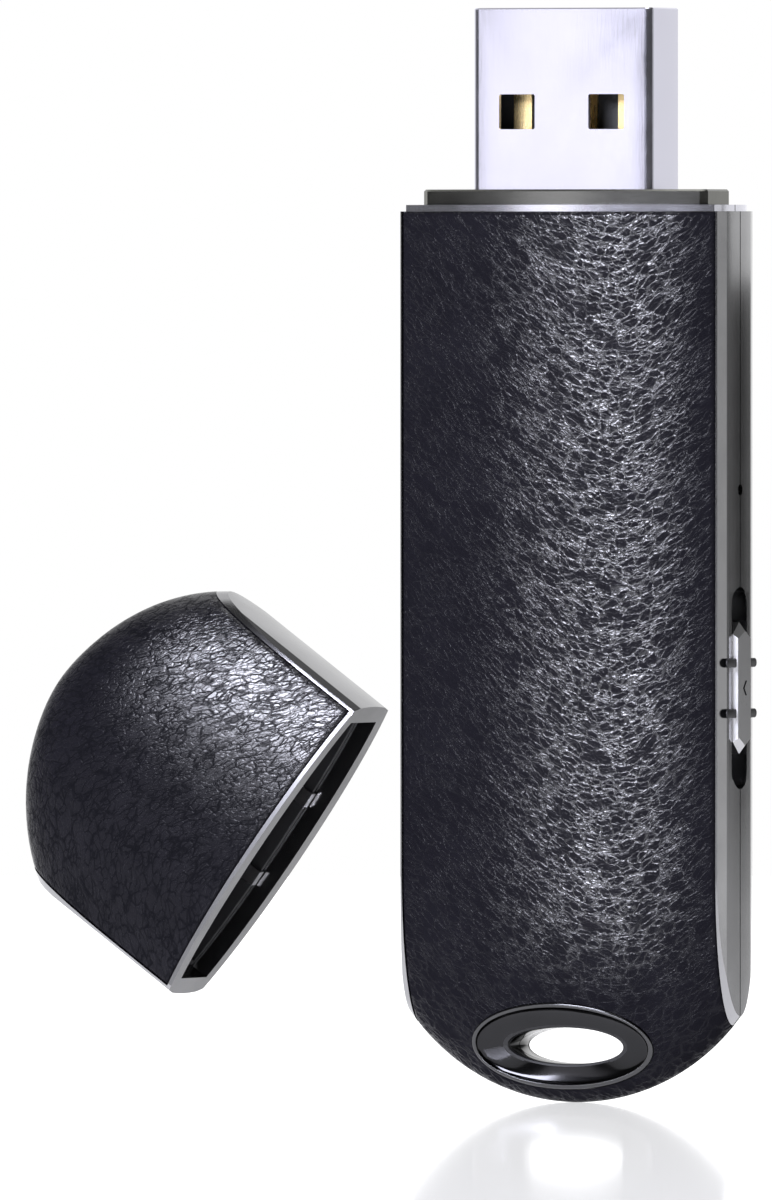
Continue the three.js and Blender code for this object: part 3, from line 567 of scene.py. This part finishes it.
def leather_skin(name, side, top, end, place, seed, eyelet=False):
    """One face's leather, with its grain, its rolled edge and its cut side."""
    across = int(2 * LEATHER_EDGE / GRAIN_PITCH)
    width = across + 1
    rows = skin_rows(top, end)
    z = np.repeat(np.array(rows), width)
    radius = form_radius(z, 0, end)
    limit = np.arcsin(np.minimum(1, LEATHER_EDGE / radius))
    share = np.tile(np.linspace(-1, 1, width), len(rows))
    x = radius * np.sin(limit * share)
    vertices = np.column_stack([x, side * skin_depth(x, z, top, end, seed), z])
    removed = fit_to_eyelet(vertices, x, z, width) if eyelet else set()
    faces = []
    for row in range(len(rows) - 1):
        for column in range(across):
            corner = row * width + column
            quad = (corner, corner + 1, corner + width + 1, corner + width)
            if removed.isdisjoint(quad):
                faces.append(quad)
    mesh = mesh_from(name, vertices, faces)
    close_skin(mesh, side, end)
    return smooth(new_object(name, mesh, place), LEATHER_SHARP)


# ---------------------------------------------------------------- frames
def side_prism(name, outline, start, stop, place):
    """An outline in Y and Z, raised along X."""
    outline = np.asarray(outline, float)
    rings = [np.column_stack([np.full(len(outline), x), outline]) for x in (start, stop)]
    return loft(name, rings, place)


def stadium(length, width, height, steps=24):
    straight = length / 2 - width / 2
    points = []
    for i in range(steps + 1):
        bend = i / steps * math.pi
        points.append((width / 2 * math.cos(bend), height + straight + width / 2 * math.sin(bend)))
    for i in range(steps + 1):
        bend = math.pi + i / steps * math.pi
        points.append((width / 2 * math.cos(bend), height - straight + width / 2 * math.sin(bend)))
    return points


def trimmed_form(inset, band_inset, bottom, top, end, place):
    """The form between two heights, with its sides trimmed to the band."""
    band = prism("band", band_outline(band_inset), bottom, top + 1, place)
    return keep(form(inset, top, end, place), band)


def leather_room(top, end, place):
    """The room that the leather takes, from its glue out past the face."""
    reach = LEATHER_EDGE + LEATHER_SIDE_GAP
    room = block(-reach, reach, -BEYOND, BEYOND, -1, top, place)
    keep(room, form(-LEATHER_ROOM_PROUD, top + 1, end, place, PLAIN_FORM))
    return cut(room, form(LEATHER + GLUE, top + 2, end, place))


def through_hole(name, outline):
    """A cutting tool from front to back, with its outline in X and Z."""
    rings = [np.array([(x, y, z) for x, z in outline]) for y in (-BEYOND, BEYOND)]
    return loft(name, rings, drive_place)


def drive_frame(name, side):
    body = trimmed_form(0, 0, -1, SHOULDER, DRIVE_END, drive_place)
    cut(body, leather_room(SHOULDER, DRIVE_END, drive_place))
    join(body, trimmed_form(RIM_INSET, RIM_INSET, SHOULDER, LENGTH, DRIVE_END, drive_place))
    join(body, trimmed_form(LEATHER + GLUE, RIM_INSET, SHOULDER - 1, LENGTH, DRIVE_END, drive_place))
    cavity = form(CAVITY_INSET, LENGTH + 1, DRIVE_END, drive_place, PLAIN_FORM)
    inside = (-CAVITY_EDGE, CAVITY_EDGE, -BEYOND, BEYOND, CAVITY_FLOOR, LENGTH + 2)
    keep(cavity, block(*inside, drive_place))
    seat = [(x, z + EYELET_HEIGHT) for x, z in ellipse(*(LIP - EYELET_SEAT_INSET), 96)]
    slot = side_prism("slot", stadium(SLOT_LENGTH, SLOT_WIDTH, SWITCH_HEIGHT), *SIDE_REACH, drive_place)
    pad = (HALF_WIDTH - PAD_DEPTH, SIDE_REACH[1], -PAD_HALF_WIDTH, PAD_HALF_WIDTH)
    milled = block(*pad, SWITCH_HEIGHT - PAD_BELOW, SWITCH_HEIGHT + PAD_ABOVE, drive_place)
    round_hole = ellipse(PINHOLE_RADIUS, PINHOLE_RADIUS, 32, 0, PINHOLE_HEIGHT)
    pinhole = side_prism("pinhole", round_hole, *SIDE_REACH, drive_place)
    cut(body, cavity, through_hole("hole", seat), milled, slot, pinhole)
    keep(body, half_space(side, PARTING_GAP, drive_place))
    body.name = name
    return with_rim(smooth(body, FRAME_SHARP), SHOULDER, "rim_painted_highlight_metal")


def with_rim(body, height, rim_painted_light):
    """Gives the rim above a height its own material: a copy of the frame's metal with painted light,
    brighter on the drive for a painted highlight and darker on the cap for painted shade.
    """
    finish(body, "frame_metal", rim_painted_light)
    for face in body.data.polygons:
        face.material_index = int(face.center.z > (height - 0.01) * MM)
    return body


def cap_inside(inset, edge, top):
    """A form cut off square at its sides, for the cap's hollow and its liner."""
    body = form(inset, top, CAP_END, cap_place)
    return keep(body, block(-edge, edge, -BEYOND, BEYOND, 0, top + 1, cap_place))


def cap_frame(name):
    body = trimmed_form(0, 0, -1, CAP_LENGTH, CAP_END, cap_place)
    cut(body, leather_room(CAP_LENGTH - CAP_RIM_HEIGHT, CAP_END, cap_place))
    cut(body, cap_inside(LEATHER + GLUE + CAP_WALL, CAVITY_EDGE, CAP_LENGTH + 1))
    body.name = name
    return with_rim(smooth(body, FRAME_SHARP), CAP_LENGTH - CAP_RIM_HEIGHT, "mouth_painted_shade_metal")


def cap_liner(name):
    edge = CAP_LENGTH - (COLLAR_TOP - LENGTH) - LINER_BEHIND_COLLAR
    body = cap_inside(LINER_INSET, CAVITY_EDGE - LINER_GAP, edge)
    cut(body, cap_inside(CAVITY_INSET, CAVITY_EDGE - LINER_GAP - LINER_WALL, edge + 2))
    body.name = name
    return smooth(body, FRAME_SHARP)


# ---------------------------------------------------------------- collar and plug
def lens_outline(inset, half_width, chamfer):
    corner = half_width - chamfer
    z = DRIVE_END["radius"]
    side = float(form_depth(corner, z, inset, DRIVE_END)) - chamfer
    face = [(x, -float(form_depth(x, z, inset, DRIVE_END))) for x in np.linspace(-corner, corner, 65)]
    lower = [(-half_width, -side), *face, (half_width, -side)]
    return [*lower, *[(-x, -y) for x, y in lower]]


def rounded_rectangle(half_x, half_y, radius, steps=10):
    points = []
    for quarter, (sx, sy) in enumerate(((1, -1), (1, 1), (-1, 1), (-1, -1))):
        for i in range(steps + 1):
            bend = (quarter - 1 + i / steps) * math.pi / 2
            points.append((
                sx * (half_x - radius) + radius * math.cos(bend),
                sy * (half_y - radius) + radius * math.sin(bend),
            ))
    return points


def collar(name):
    plate = lens_outline(COLLAR_INSET, COLLAR_HALF_WIDTH, COLLAR_CORNER)
    inner = lens_outline(SPIGOT_INSET, COLLAR_HALF_WIDTH, COLLAR_CORNER)
    body = prism(name, plate, LENGTH, COLLAR_TOP, drive_place, COLLAR_CHAMFER)
    join(body, prism("spigot", inner, LENGTH - SPIGOT_DEPTH, LENGTH + SPIGOT_OVERLAP, drive_place))
    passage = rounded_rectangle(*PASSAGE, PLUG_CORNER)
    cut(body, prism("passage", passage, PLUG_BOTTOM, PLUG_TIP, drive_place))
    return smooth(body, PLUG_SHARP)


def plug_shell(name):
    outside = rounded_rectangle(PLUG_HALF_WIDTH, PLUG_HALF_DEPTH, PLUG_CORNER)
    inner = (PLUG_HALF_WIDTH - PLUG_WALL, PLUG_HALF_DEPTH - PLUG_WALL)
    inside = rounded_rectangle(*inner, PLUG_INNER_CORNER)
    below, above = PLUG_BOTTOM - 1, PLUG_TIP + 1
    body = prism(name, outside, PLUG_BOTTOM, PLUG_TIP, drive_place, PLUG_CHAMFER)
    cut(body, prism("inside", inside, below, above, drive_place))
    for middle in (-WINDOW_OFFSET, WINDOW_OFFSET):
        corners = rounded_rectangle(*WINDOW_HALF, WINDOW_CORNER, 4)
        window = [(middle + x, PLUG_TIP - WINDOW_BELOW_TIP + z) for x, z in corners]
        cut(body, through_hole("window", window))
    seam = (-SEAM_HALF_WIDTH, SEAM_HALF_WIDTH, PLUG_HALF_DEPTH - SEAM_DEPTH, PLUG_HALF_DEPTH + 1)
    cut(body, block(*seam, below, above, drive_place))
    return smooth(body, PLUG_SHARP)


# ---------------------------------------------------------------- slide knob
def knob_section(x, half_width, tip, point):
    """A six-sided section across the knob, with a point at each end."""
    straight = tip - point
    corners = [
        (half_width, -straight), (half_width, straight), (0, tip),
        (-half_width, straight), (-half_width, -straight), (0, -tip),
    ]
    return np.array([(x, y, SWITCH_HEIGHT + z) for y, z in corners])


def slide_knob(name):
    half_width, tip = KNOB_HALF
    top = HALF_WIDTH + KNOB_PROUD
    rings = [knob_section(KNOB_FOOT, half_width, tip, KNOB_POINT)]
    for rise, narrower, shorter, point in KNOB_RINGS:
        rings.append(knob_section(HALF_WIDTH + rise, half_width - narrower, tip - shorter, point))
    body = loft(name, rings, drive_place)
    reach, rise = MARK_HALF
    for sign in (-1, 1):
        mark = np.array([
            (reach, rise * sign), (reach - MARK_STROKE, rise * sign),
            (-reach, 0), (MARK_STROKE - reach, 0),
        ])
        mark[:, 1] += SWITCH_HEIGHT
        cut(body, side_prism("mark", mark, top - MARK_DEPTH, top + 1, drive_place))
    # Painted highlight: the knob's front face gets a near-white, non-metal material.
    finish(body, "knob_metal", "black_plastic", "knob_face_painted_highlight")
    near_mark = 0.35
    for face in body.data.polygons:
        x, y, _ = face.center / MM
        if top - 0.2 < x < top - 0.01 and abs(y) < near_mark:
            face.material_index = 1
        elif face.normal.y < -0.9:
            face.material_index = 2
    return smooth(body, KNOB_SHARP)


def knob_rib(name, offset):
    """A low cross rib with rounded ends, which stands out from both sides of the knob."""
    ends = stadium(RIB_LENGTH, RIB_WIDTH, 0, 12)
    outline = np.array([(y, z + SWITCH_HEIGHT + offset) for z, y in ends])[::-1]
    rings = []
    for lift, shrink in RIB_PROFILE:
        points = drawn_in(outline, shrink) if shrink else outline
        rings.append(np.column_stack([np.full(len(points), HALF_WIDTH + lift), points]))
    return smooth(loft(name, rings, drive_place), TRIM_SHARP)


# ---------------------------------------------------------------- materials
class Shader:
    """A small builder for one node material."""

    def __init__(self, name):
        self.material = bpy.data.materials.new(name)
        self.material.use_nodes = True
        self.tree = self.material.node_tree
        self.tree.nodes.clear()
        self.output = self.tree.nodes.new("ShaderNodeOutputMaterial")
        self.body = self.tree.nodes.new("ShaderNodeBsdfPrincipled")
        self.tree.links.new(self.body.outputs["BSDF"], self.output.inputs["Surface"])
        self.coords = self.tree.nodes.new("ShaderNodeTexCoord").outputs["Object"]

    def put(self, socket, value):
        if isinstance(value, bpy.types.NodeSocket):
            self.tree.links.new(value, socket)
        elif isinstance(value, tuple) and len(value) == 3 and socket.type == "RGBA":
            socket.default_value = (*value, 1)
        else:
            socket.default_value = value

    def set(self, **values):
        for name, value in values.items():
            self.put(self.body.inputs[name.replace("_", " ")], value)

    def scaled(self, stretch=(1, 1, 1)):
        """Object coordinates in mm, times a stretch."""
        node = self.tree.nodes.new("ShaderNodeMapping")
        self.put(node.inputs["Vector"], self.coords)
        node.inputs["Scale"].default_value = [PER_MM * part for part in stretch]
        return node.outputs["Vector"]

    def noise(self, vector, scale=1.0, detail=2.0, roughness=0.5):
        node = self.tree.nodes.new("ShaderNodeTexNoise")
        self.put(node.inputs["Vector"], vector)
        node.inputs["Scale"].default_value = scale
        node.inputs["Detail"].default_value = detail
        node.inputs["Roughness"].default_value = roughness
        return node.outputs["Fac"]

    def cells(self, vector, scale=1.0, feature="DISTANCE_TO_EDGE"):
        node = self.tree.nodes.new("ShaderNodeTexVoronoi")
        node.feature = feature
        self.put(node.inputs["Vector"], vector)
        node.inputs["Scale"].default_value = scale
        return node.outputs["Distance"]

    def maths(self, operation, a, b=0.0, c=0.0):
        node = self.tree.nodes.new("ShaderNodeMath")
        node.operation = operation
        for socket, value in zip(node.inputs, (a, b, c)):
            self.put(socket, value)
        return node.outputs[0]

    def band(self, value, low, high, start=0.0, end=1.0):
        """A smooth step from start to end as the value goes from low to high."""
        node = self.tree.nodes.new("ShaderNodeMapRange")
        self.put(node.inputs["Value"], value)
        for name, number in (("From Min", low), ("From Max", high), ("To Min", start), ("To Max", end)):
            node.inputs[name].default_value = number
        node.interpolation_type = "SMOOTHSTEP"
        return node.outputs["Result"]

    def mix(self, share, first, second):
        node = self.tree.nodes.new("ShaderNodeMix")
        node.data_type = "RGBA"
        self.put(node.inputs["Factor"], share)
        self.put(node.inputs[6], first)
        self.put(node.inputs[7], second)
        return node.outputs[2]

    def mix_value(self, share, first, second):
        node = self.tree.nodes.new("ShaderNodeMix")
        node.data_type = "FLOAT"
        for socket, value in zip(node.inputs, (share, None, first, second)):
            if value is not None:
                self.put(socket, value)
        return node.outputs[0]

    def bump(self, height, distance):
        node = self.tree.nodes.new("ShaderNodeBump")
        self.put(node.inputs["Height"], height)
        node.inputs["Distance"].default_value = distance
        return node.outputs["Normal"]

    def separate(self, vector):
        node = self.tree.nodes.new("ShaderNodeSeparateXYZ")
        self.put(node.inputs["Vector"], vector)
        return node.outputs

    def combine(self, x, y, z):
        node = self.tree.nodes.new("ShaderNodeCombineXYZ")
        for socket, value in zip(node.inputs, (x, y, z)):
            self.put(socket, value)
        return node.outputs[0]


def leather_material(name, dark, crease, sheen, sheen_strip, roughness, depth):
    """Grained leather: small cells drawn out sideways, parted by creases that sag in the middle.

    Sheen gives how strongly the cells and then the creases shine. The sheen strip is painted sheen, a
    shinier strip set by position where the key light's highlight falls: in mm across, where it starts and
    is full, and where it fades and ends; in mm up, where it starts and is full; and the least share of
    shine outside it."""
    s = Shader(name)
    mm = s.scaled()
    x, _, z = s.separate(mm)
    off_middle = s.maths("SUBTRACT", x, CREASE_MIDDLE)
    sag = s.maths("SQRT", s.maths("MULTIPLY_ADD", off_middle, off_middle, 9.0))
    level = s.maths("MULTIPLY_ADD", sag, -0.75, z)
    swell = s.noise(mm, 0.4, 2)
    ripple = s.maths("MULTIPLY", s.noise(mm, 2.6, 2), 0.34)
    across = s.maths("ADD", x, ripple)
    up = s.maths("MULTIPLY", s.maths("ADD", level, s.maths("ADD", swell, ripple)), 1.9)
    flow = s.combine(across, 0.0, up)
    strength = s.noise(flow, 0.55, 2)
    wide = s.cells(flow, 1.15)
    fine = s.cells(flow, 2.3)
    pebble = s.mix_value(s.band(strength, 0.3, 0.5), 1.0, s.band(wide, 0.0, 0.13))
    grain = s.band(fine, 0.0, 0.16)
    faint = s.band(strength, 0.45, 0.66)
    line = s.maths("SUBTRACT", 1.0, s.maths("MULTIPLY", pebble, s.mix_value(faint, 1.0, grain)))
    pores = s.noise(mm, 6.0, 2)
    height = s.maths("ADD", s.maths("MULTIPLY", pebble, 0.55), s.maths("MULTIPLY", grain, 0.4))
    height = s.maths("ADD", height, s.maths("MULTIPLY", pores, 0.05))
    patch = s.band(s.noise(mm, 0.25, 4), 0.35, 0.75, 0.0, 0.35)
    tone = s.mix(patch, dark, tuple(1.6 * c for c in dark))
    # The crease colour is painted light: lighter creases paint a faint highlight on the crease lines,
    # darker ones paint shade in the creases.
    tone = s.mix(line, tone, crease)
    rough = s.maths("ADD", s.maths("MULTIPLY", s.noise(mm, 1.6, 3), 0.1), roughness - 0.05)
    s.set(Base_Color=tone, Roughness=rough, Normal=s.bump(height, depth))
    # Painted sheen: the specular level is raised in a strip set by object position, where the key light's
    # highlight falls; the highlights themselves come from the lights.
    faded = s.maths("SUBTRACT", 1.0, s.band(x, *sheen_strip["fades"]))
    sheen_share = s.maths("MULTIPLY", s.band(x, *sheen_strip["starts"]), faded)
    sheen_share = s.maths("MULTIPLY", sheen_share, s.band(z, *sheen_strip["rises"]))
    sheen_share = s.mix_value(sheen_share, sheen_strip["least"], 1.0)
    s.set(Specular_IOR_Level=s.maths("MULTIPLY", s.mix_value(line, *sheen), sheen_share))
    return s.material


def metal_material(name, colour, roughness, along=(1, 1, 1), brush=0.0, wear=0.0, metallic=1.0):
    """Satin or bright metal, with brush lines, faint smears, pits and patches of wear."""
    s = Shader(name)
    mm = s.scaled()
    lines = s.noise(s.scaled(along), 1.0, 5, 0.6)
    smear = s.noise(mm, 0.35, 4)
    pits = s.band(s.cells(mm, 2.6, "F1"), 0.05, 0.16)
    rough = s.maths("ADD", roughness - 0.05, s.maths("MULTIPLY", smear, 0.1))
    rough = s.maths("ADD", rough, s.maths("MULTIPLY", lines, brush * 0.12))
    tone = s.mix(s.band(smear, 0.3, 0.8, 0.0, 0.4 + wear), colour, tuple(c * 0.78 for c in colour))
    height = s.maths("ADD", s.maths("MULTIPLY", lines, brush), s.maths("MULTIPLY", pits, 0.03))
    s.set(Base_Color=tone, Metallic=metallic, Roughness=rough, Normal=s.bump(height, 0.000006))
    return s.material


def plastic_material(name, colour, roughness, grain=6.0, depth=0.000012, coat=0.0):
    """Moulded plastic with a fine spark-eroded grain and a slight sheen change."""
    s = Shader(name)
    mm = s.scaled()
    fine = s.noise(mm, grain, 4, 0.6)
    slow = s.noise(mm, 0.4, 3)
    tone = s.mix(s.band(slow, 0.3, 0.75), tuple(0.82 * c for c in colour), colour)
    rough = s.maths("ADD", roughness - 0.06, s.maths("MULTIPLY", slow, 0.12))
    s.set(Base_Color=tone, Roughness=rough, Normal=s.bump(fine, depth), Coat_Weight=coat)
    return s.material


def board_material(name, colour):
    """Solder mask over copper tracks, with rows of bright through holes."""
    s = Shader(name)
    mm = s.scaled()
    x, _, _ = s.separate(mm)
    track = s.maths("PINGPONG", s.maths("ADD", x, s.noise(mm, 0.3, 1)), 0.35)
    raised = s.band(track, 0.1, 0.16)
    hole = s.band(s.cells(s.scaled((0.5, 0, 0.5)), 1.0, "F1"), 0.1, 0.13)
    tone = s.mix(raised, colour, tuple(c * 1.7 for c in colour))
    tone = s.mix(hole, (0.75, 0.62, 0.35), tone)
    s.set(Base_Color=tone, Roughness=0.28, Coat_Weight=0.4, Normal=s.bump(raised, 0.00002))
    return s.material


LEATHER_DARK = (0.0085, 0.0082, 0.0112)
# Painted sheen strips, in mm in each piece's own frame: where the key light's highlight falls on the drive
# and on the cap.
DRIVE_SHEEN_STRIP = {"starts": (-5.5, 4.0), "fades": (5.4, 10.0), "rises": (6.0, 13.0), "least": 0.08}
CAP_SHEEN_STRIP = {"starts": (-30.0, -20.0), "fades": (-8.0, 1.0), "rises": (2.0, 6.0), "least": 0.1}
materials = {
    # The drive's crease colour is a touch lighter than its cells: a faint painted highlight on the crease
    # lines.
    "leather": leather_material(
        "drive_leather", LEATHER_DARK, (0.009, 0.0088, 0.012), (0.09, 1.15), DRIVE_SHEEN_STRIP, 0.2, 0.00003
    ),
    # The cap's crease colour is darker than its cells: painted shade in the creases.
    "cap_leather": leather_material(
        "cap_leather", LEATHER_DARK, (0.0065, 0.0065, 0.0085), (0.85, 0.15), CAP_SHEEN_STRIP, 0.26, 0.000024
    ),
    "frame_metal": metal_material("frame_metal", (0.4, 0.4, 0.41), 0.15, (9, 9, 0.5), 0.2, 0.1),
    "dark_metal": metal_material("dark_metal", (0.1, 0.1, 0.103), 0.12, (3, 3, 3), 0.2, 0.2),
    "plug_steel": metal_material("plug_steel", (0.78, 0.775, 0.89), 0.14, (7, 7, 0.6), 0.25, -0.3),
    "contact_gold": metal_material("contact_gold", (0.88, 0.68, 0.34), 0.24, (8, 8, 0.8), 0.6),
    "black_plastic": plastic_material("black_plastic", (0.016, 0.016, 0.018), 0.5),
    "knob_metal": metal_material("knob_metal", (0.48, 0.48, 0.49), 0.26, (2, 9, 9), 0.5, 0.1),
    # Near-white and not metallic: a painted highlight on the knob's front face.
    "knob_face_painted_highlight": metal_material("knob_face_painted_highlight", (0.9, 0.9, 0.92), 0.3, (2, 9, 9), 0.2, -0.2, metallic=0.0),
    # The dish's metal is a darker copy of the ring's metal: painted shade inside the dish.
    "dish_painted_shade_metal": metal_material("dish_painted_shade_metal", (0.04, 0.04, 0.042), 0.1, (3, 3, 3), 0.1, 0.0),
    # A darker, rougher copy of the frame's metal for the cap's mouth rim: painted shade.
    "mouth_painted_shade_metal": metal_material("mouth_painted_shade_metal", (0.2, 0.2, 0.205), 0.38, (0.8, 0.8, 9), 0.3, 0.1),
    # A brighter copy of the frame's metal for the drive's rim: painted highlight.
    "rim_painted_highlight_metal": metal_material("rim_painted_highlight_metal", (0.85, 0.85, 0.93), 0.14, (0.8, 0.8, 9), 0.4, 0.05),
    "collar_metal": metal_material("collar_metal", (0.2, 0.2, 0.185), 0.16, (0.8, 0.8, 9), 0.4, 0.1),
    "board": board_material("board", (0.02, 0.16, 0.06)),
    "chip": plastic_material("chip", (0.022, 0.022, 0.025), 0.55, 9.0, 0.00002),
    "foil": metal_material("foil", (0.75, 0.76, 0.78), 0.3, (1.2, 1.2, 1.2), 1.0, 0.2),
    "capacitor": plastic_material("capacitor", (0.5, 0.38, 0.24), 0.35, 4.0),
    "red_wire": plastic_material("red_wire", (0.5, 0.02, 0.02), 0.4, 3.0),
}


# ---------------------------------------------------------------- the pieces
FRONT, BACK = -1, 1
KEPT_NODES = {
    "contact_gold": ["contact_power", "contact_data_minus", "contact_data_plus", "contact_ground"],
    "black_plastic": ["plug_insulator", "slide_backing_plate", "switch_actuator", "battery_lead_negative"],
    "board": ["main_board"],
    "chip": ["controller_chip", "audio_chip", "regulator", "flash_chip"],
    "capacitor": ["capacitor_1", "capacitor_2", "capacitor_3"],
    "foil": ["battery", "crystal", "switch_housing", "microphone"],
    "red_wire": ["battery_lead_positive"],
    "knob_metal": ["cap_grip_left", "cap_grip_right"],
}


def show(obj, body, node, slot, material=None):
    """Puts a piece in place of a node; its own material is the slot's unless another is named."""
    if not obj.data.materials or obj.data.materials[0] is None:
        finish(obj, material or slot)
    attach(obj, body)
    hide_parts(node)


for name, side, node in (
    ("frame_front_shell", FRONT, "front_frame"),
    ("frame_back_shell", BACK, "back_frame"),
):
    show(drive_frame(name, side), "drive", node, "frame_metal")
skin_top = SHOULDER - LEATHER_TOP_GAP
for name, side, node, seed in (
    ("leather_front", FRONT, "front_leather", 3),
    ("leather_back", BACK, "back_leather", 21),
):
    skin = leather_skin(name, side, skin_top, DRIVE_END, drive_place, seed, eyelet=True)
    show(skin, "drive", node, "leather")
for name, side, node in (
    ("ring_front", FRONT, "front_lanyard_ring"),
    ("ring_back", BACK, "back_lanyard_ring"),
):
    show(ring_with_painted_shade(smooth(lanyard_ring(name, side), TRIM_SHARP)), "drive", node, "dark_metal")
show(collar("plug_collar"), "drive", "collar", "dark_metal", "collar_metal")
show(plug_shell("plug_can"), "drive", "plug_shell", "plug_steel")
show(slide_knob("knob"), "slide_switch", "slide_knob", "knob_metal")
# The ribs are black though they belong to the knob's metal: painted shade over the ribs.
for name, offset in (("knob_rib_low", -RIB_OFFSET), ("knob_rib_high", RIB_OFFSET)):
    show(knob_rib(name, offset), "slide_switch", "slide_knob", "knob_metal", "black_plastic")
show(cap_frame("cap_shell"), "cap", "cap_frame", "frame_metal")
show(cap_liner("cap_lining"), "cap", "cap_liner", "black_plastic")
skin_top = CAP_LENGTH - CAP_RIM_HEIGHT - LEATHER_TOP_GAP
for name, side, node, seed in (
    ("cap_leather_front", FRONT, "cap_front_leather", 40),
    ("cap_leather_back", BACK, "cap_back_leather", 63),
):
    skin = leather_skin(name, side, skin_top, CAP_END, cap_place, seed)
    show(skin, "cap", node, "leather", "cap_leather")

for part_slot, names in KEPT_NODES.items():
    for name in names:
        finish(frame["nodes"][name], part_slot)


# ---------------------------------------------------------------- floor, lights and camera
def floor_material():
    s = Shader("floor")
    mm = s.scaled()
    speck = s.noise(mm, 0.2, 3)
    tone = s.mix(s.band(speck, 0.3, 0.7), (0.9, 0.9, 0.9), (0.93, 0.93, 0.93))
    s.set(Base_Color=tone, Roughness=0.06, Specular_IOR_Level=0.35)
    s.set(Emission_Color=(1.0, 1.0, 1.0), Emission_Strength=0.55)
    return s.material


def disc(radius, rings=6, segments=96):
    """A flat disc in rings that grow wider outwards."""
    vertices, faces = [(0, 0, 0)], []
    for ring in range(1, rings + 1):
        reach = radius * (ring / rings) ** 2
        for step in range(segments):
            turn = step / segments * 2 * math.pi
            vertices.append((reach * math.cos(turn), reach * math.sin(turn), 0))
    for step in range(segments):
        faces.append((0, 1 + step, 1 + (step + 1) % segments))
    for ring in range(rings - 1):
        low, high = 1 + ring * segments, 1 + (ring + 1) * segments
        for step in range(segments):
            after = (step + 1) % segments
            faces.append((low + step, high + step, high + after, low + after))
    return vertices, faces


FLOOR_RADIUS = 700.0
floor = new_object("floor", mesh_from("floor", *disc(FLOOR_RADIUS)), Matrix.Identity(4))
floor.data.materials.append(floor_material())

CENTRE = (0, 0, 0.031)
PLUG_CENTRE = (0.019, 0, 0.0625)
WHITE = (1, 1, 1)
COOL = (0.86, 0.87, 1.0)
PALE = (0.95, 0.94, 1.0)
# Name, azimuth and elevation in degrees, distance, width, height, watts, colour and centre.
SOFTBOXES = [
    ("key", -10, 22, 0.6, 0.24, 0.2, 4.5, COOL, CENTRE),
    ("front_card", -23.4, 1, 0.6, 0.11, 0.26, 0.1, PALE, CENTRE),
    ("side_card", 122, 3, 0.5, 0.08, 0.7, 0.08, WHITE, CENTRE),
    ("plug_card", 155.8, 0, 0.06, 0.03, 0.024, 0.0017, WHITE, PLUG_CENTRE),
    ("top", 30, 78, 0.5, 0.3, 0.3, 0.5, WHITE, CENTRE),
]


def direction(azimuth, elevation):
    """Azimuth 0 is in front, along -Y, and grows towards +X."""
    a, e = math.radians(azimuth), math.radians(elevation)
    return Vector((math.sin(a) * math.cos(e), -math.cos(a) * math.cos(e), math.sin(e)))


def aim(name, data, centre, away, distance):
    """Stands a light or camera at a distance from a centre, looking at it."""
    made = bpy.data.objects.new(name, data)
    bpy.context.scene.collection.objects.link(made)
    made.location = Vector(centre) + away * distance
    made.rotation_euler = away.to_track_quat("Z", "Y").to_euler()
    return made


def softbox(name, azimuth, elevation, distance, width, height, power, colour, centre):
    light = bpy.data.lights.new(name, "AREA")
    light.shape = "RECTANGLE"
    light.size, light.size_y = width, height
    light.energy = power
    light.color = colour
    aim(name, light, centre, direction(azimuth, elevation), distance).visible_camera = False


for box in SOFTBOXES:
    softbox(*box)

# The room's brightness all the way round, in degrees from the front: dim in front, pale behind.
ROOM = [
    (-180, 1.0), (-120, 1.0), (-75, 0.12), (-40, 0.05), (100, 0.05), (135, 0.24), (146, 0.15),
    (152, 0.05), (159, 0.05), (168, 0.14), (176, 0.9),
]


def studio_world():
    """Lights the object by the room's brightness, and shows the camera plain white."""
    world = bpy.data.worlds.new("studio")
    bpy.context.scene.world = world
    world.use_nodes = True
    tree = world.node_tree
    tree.nodes.clear()

    def node(kind, operation=None, **inputs):
        made = tree.nodes.new("ShaderNode" + kind)
        if operation:
            made.operation = operation
        for name, value in inputs.items():
            made.inputs[name.replace("_", " ")].default_value = value
        return made

    parts = node("SeparateXYZ")
    tree.links.new(node("TexCoord").outputs["Generated"], parts.inputs[0])
    forward = node("Math", "MULTIPLY")
    forward.inputs[1].default_value = -1
    tree.links.new(parts.outputs["Y"], forward.inputs[0])
    angle = node("Math", "ARCTAN2")
    tree.links.new(parts.outputs["X"], angle.inputs[0])
    tree.links.new(forward.outputs[0], angle.inputs[1])
    share = node("MapRange", From_Min=-math.pi, From_Max=math.pi)
    tree.links.new(angle.outputs[0], share.inputs["Value"])
    ramp = node("ValToRGB")
    tree.links.new(share.outputs["Result"], ramp.inputs["Fac"])
    stops = ramp.color_ramp.elements
    while len(stops) < len(ROOM):
        stops.new(1.0)
    for stop, (degrees, brightness) in zip(stops, ROOM):
        stop.position = (degrees + 180) / 360
        stop.color = (brightness, brightness, brightness, 1)
    strength = node("Math", "MAXIMUM")
    tree.links.new(ramp.outputs["Color"], strength.inputs[0])
    tree.links.new(node("LightPath").outputs["Is Camera Ray"], strength.inputs[1])
    background = node("Background", Color=(1, 1, 1, 1))
    tree.links.new(strength.outputs[0], background.inputs["Strength"])
    tree.links.new(background.outputs[0], node("OutputWorld").inputs["Surface"])


studio_world()

LENS = 900
SENSOR = 36
FRAME_HEIGHT = 73.8
TARGET = Vector((2.476, -4.8, 30.89)) * MM
VIEW = direction(24.2, 0.6)
camera = bpy.data.cameras.new("camera")
camera.lens = LENS
camera.sensor_fit = "VERTICAL"
camera.sensor_height = SENSOR
camera.clip_start, camera.clip_end = 0.1, 10
bpy.context.scene.camera = aim("camera", camera, TARGET, VIEW, LENS * FRAME_HEIGHT / SENSOR * MM)
bpy.context.scene.view_settings.view_transform = "Standard"
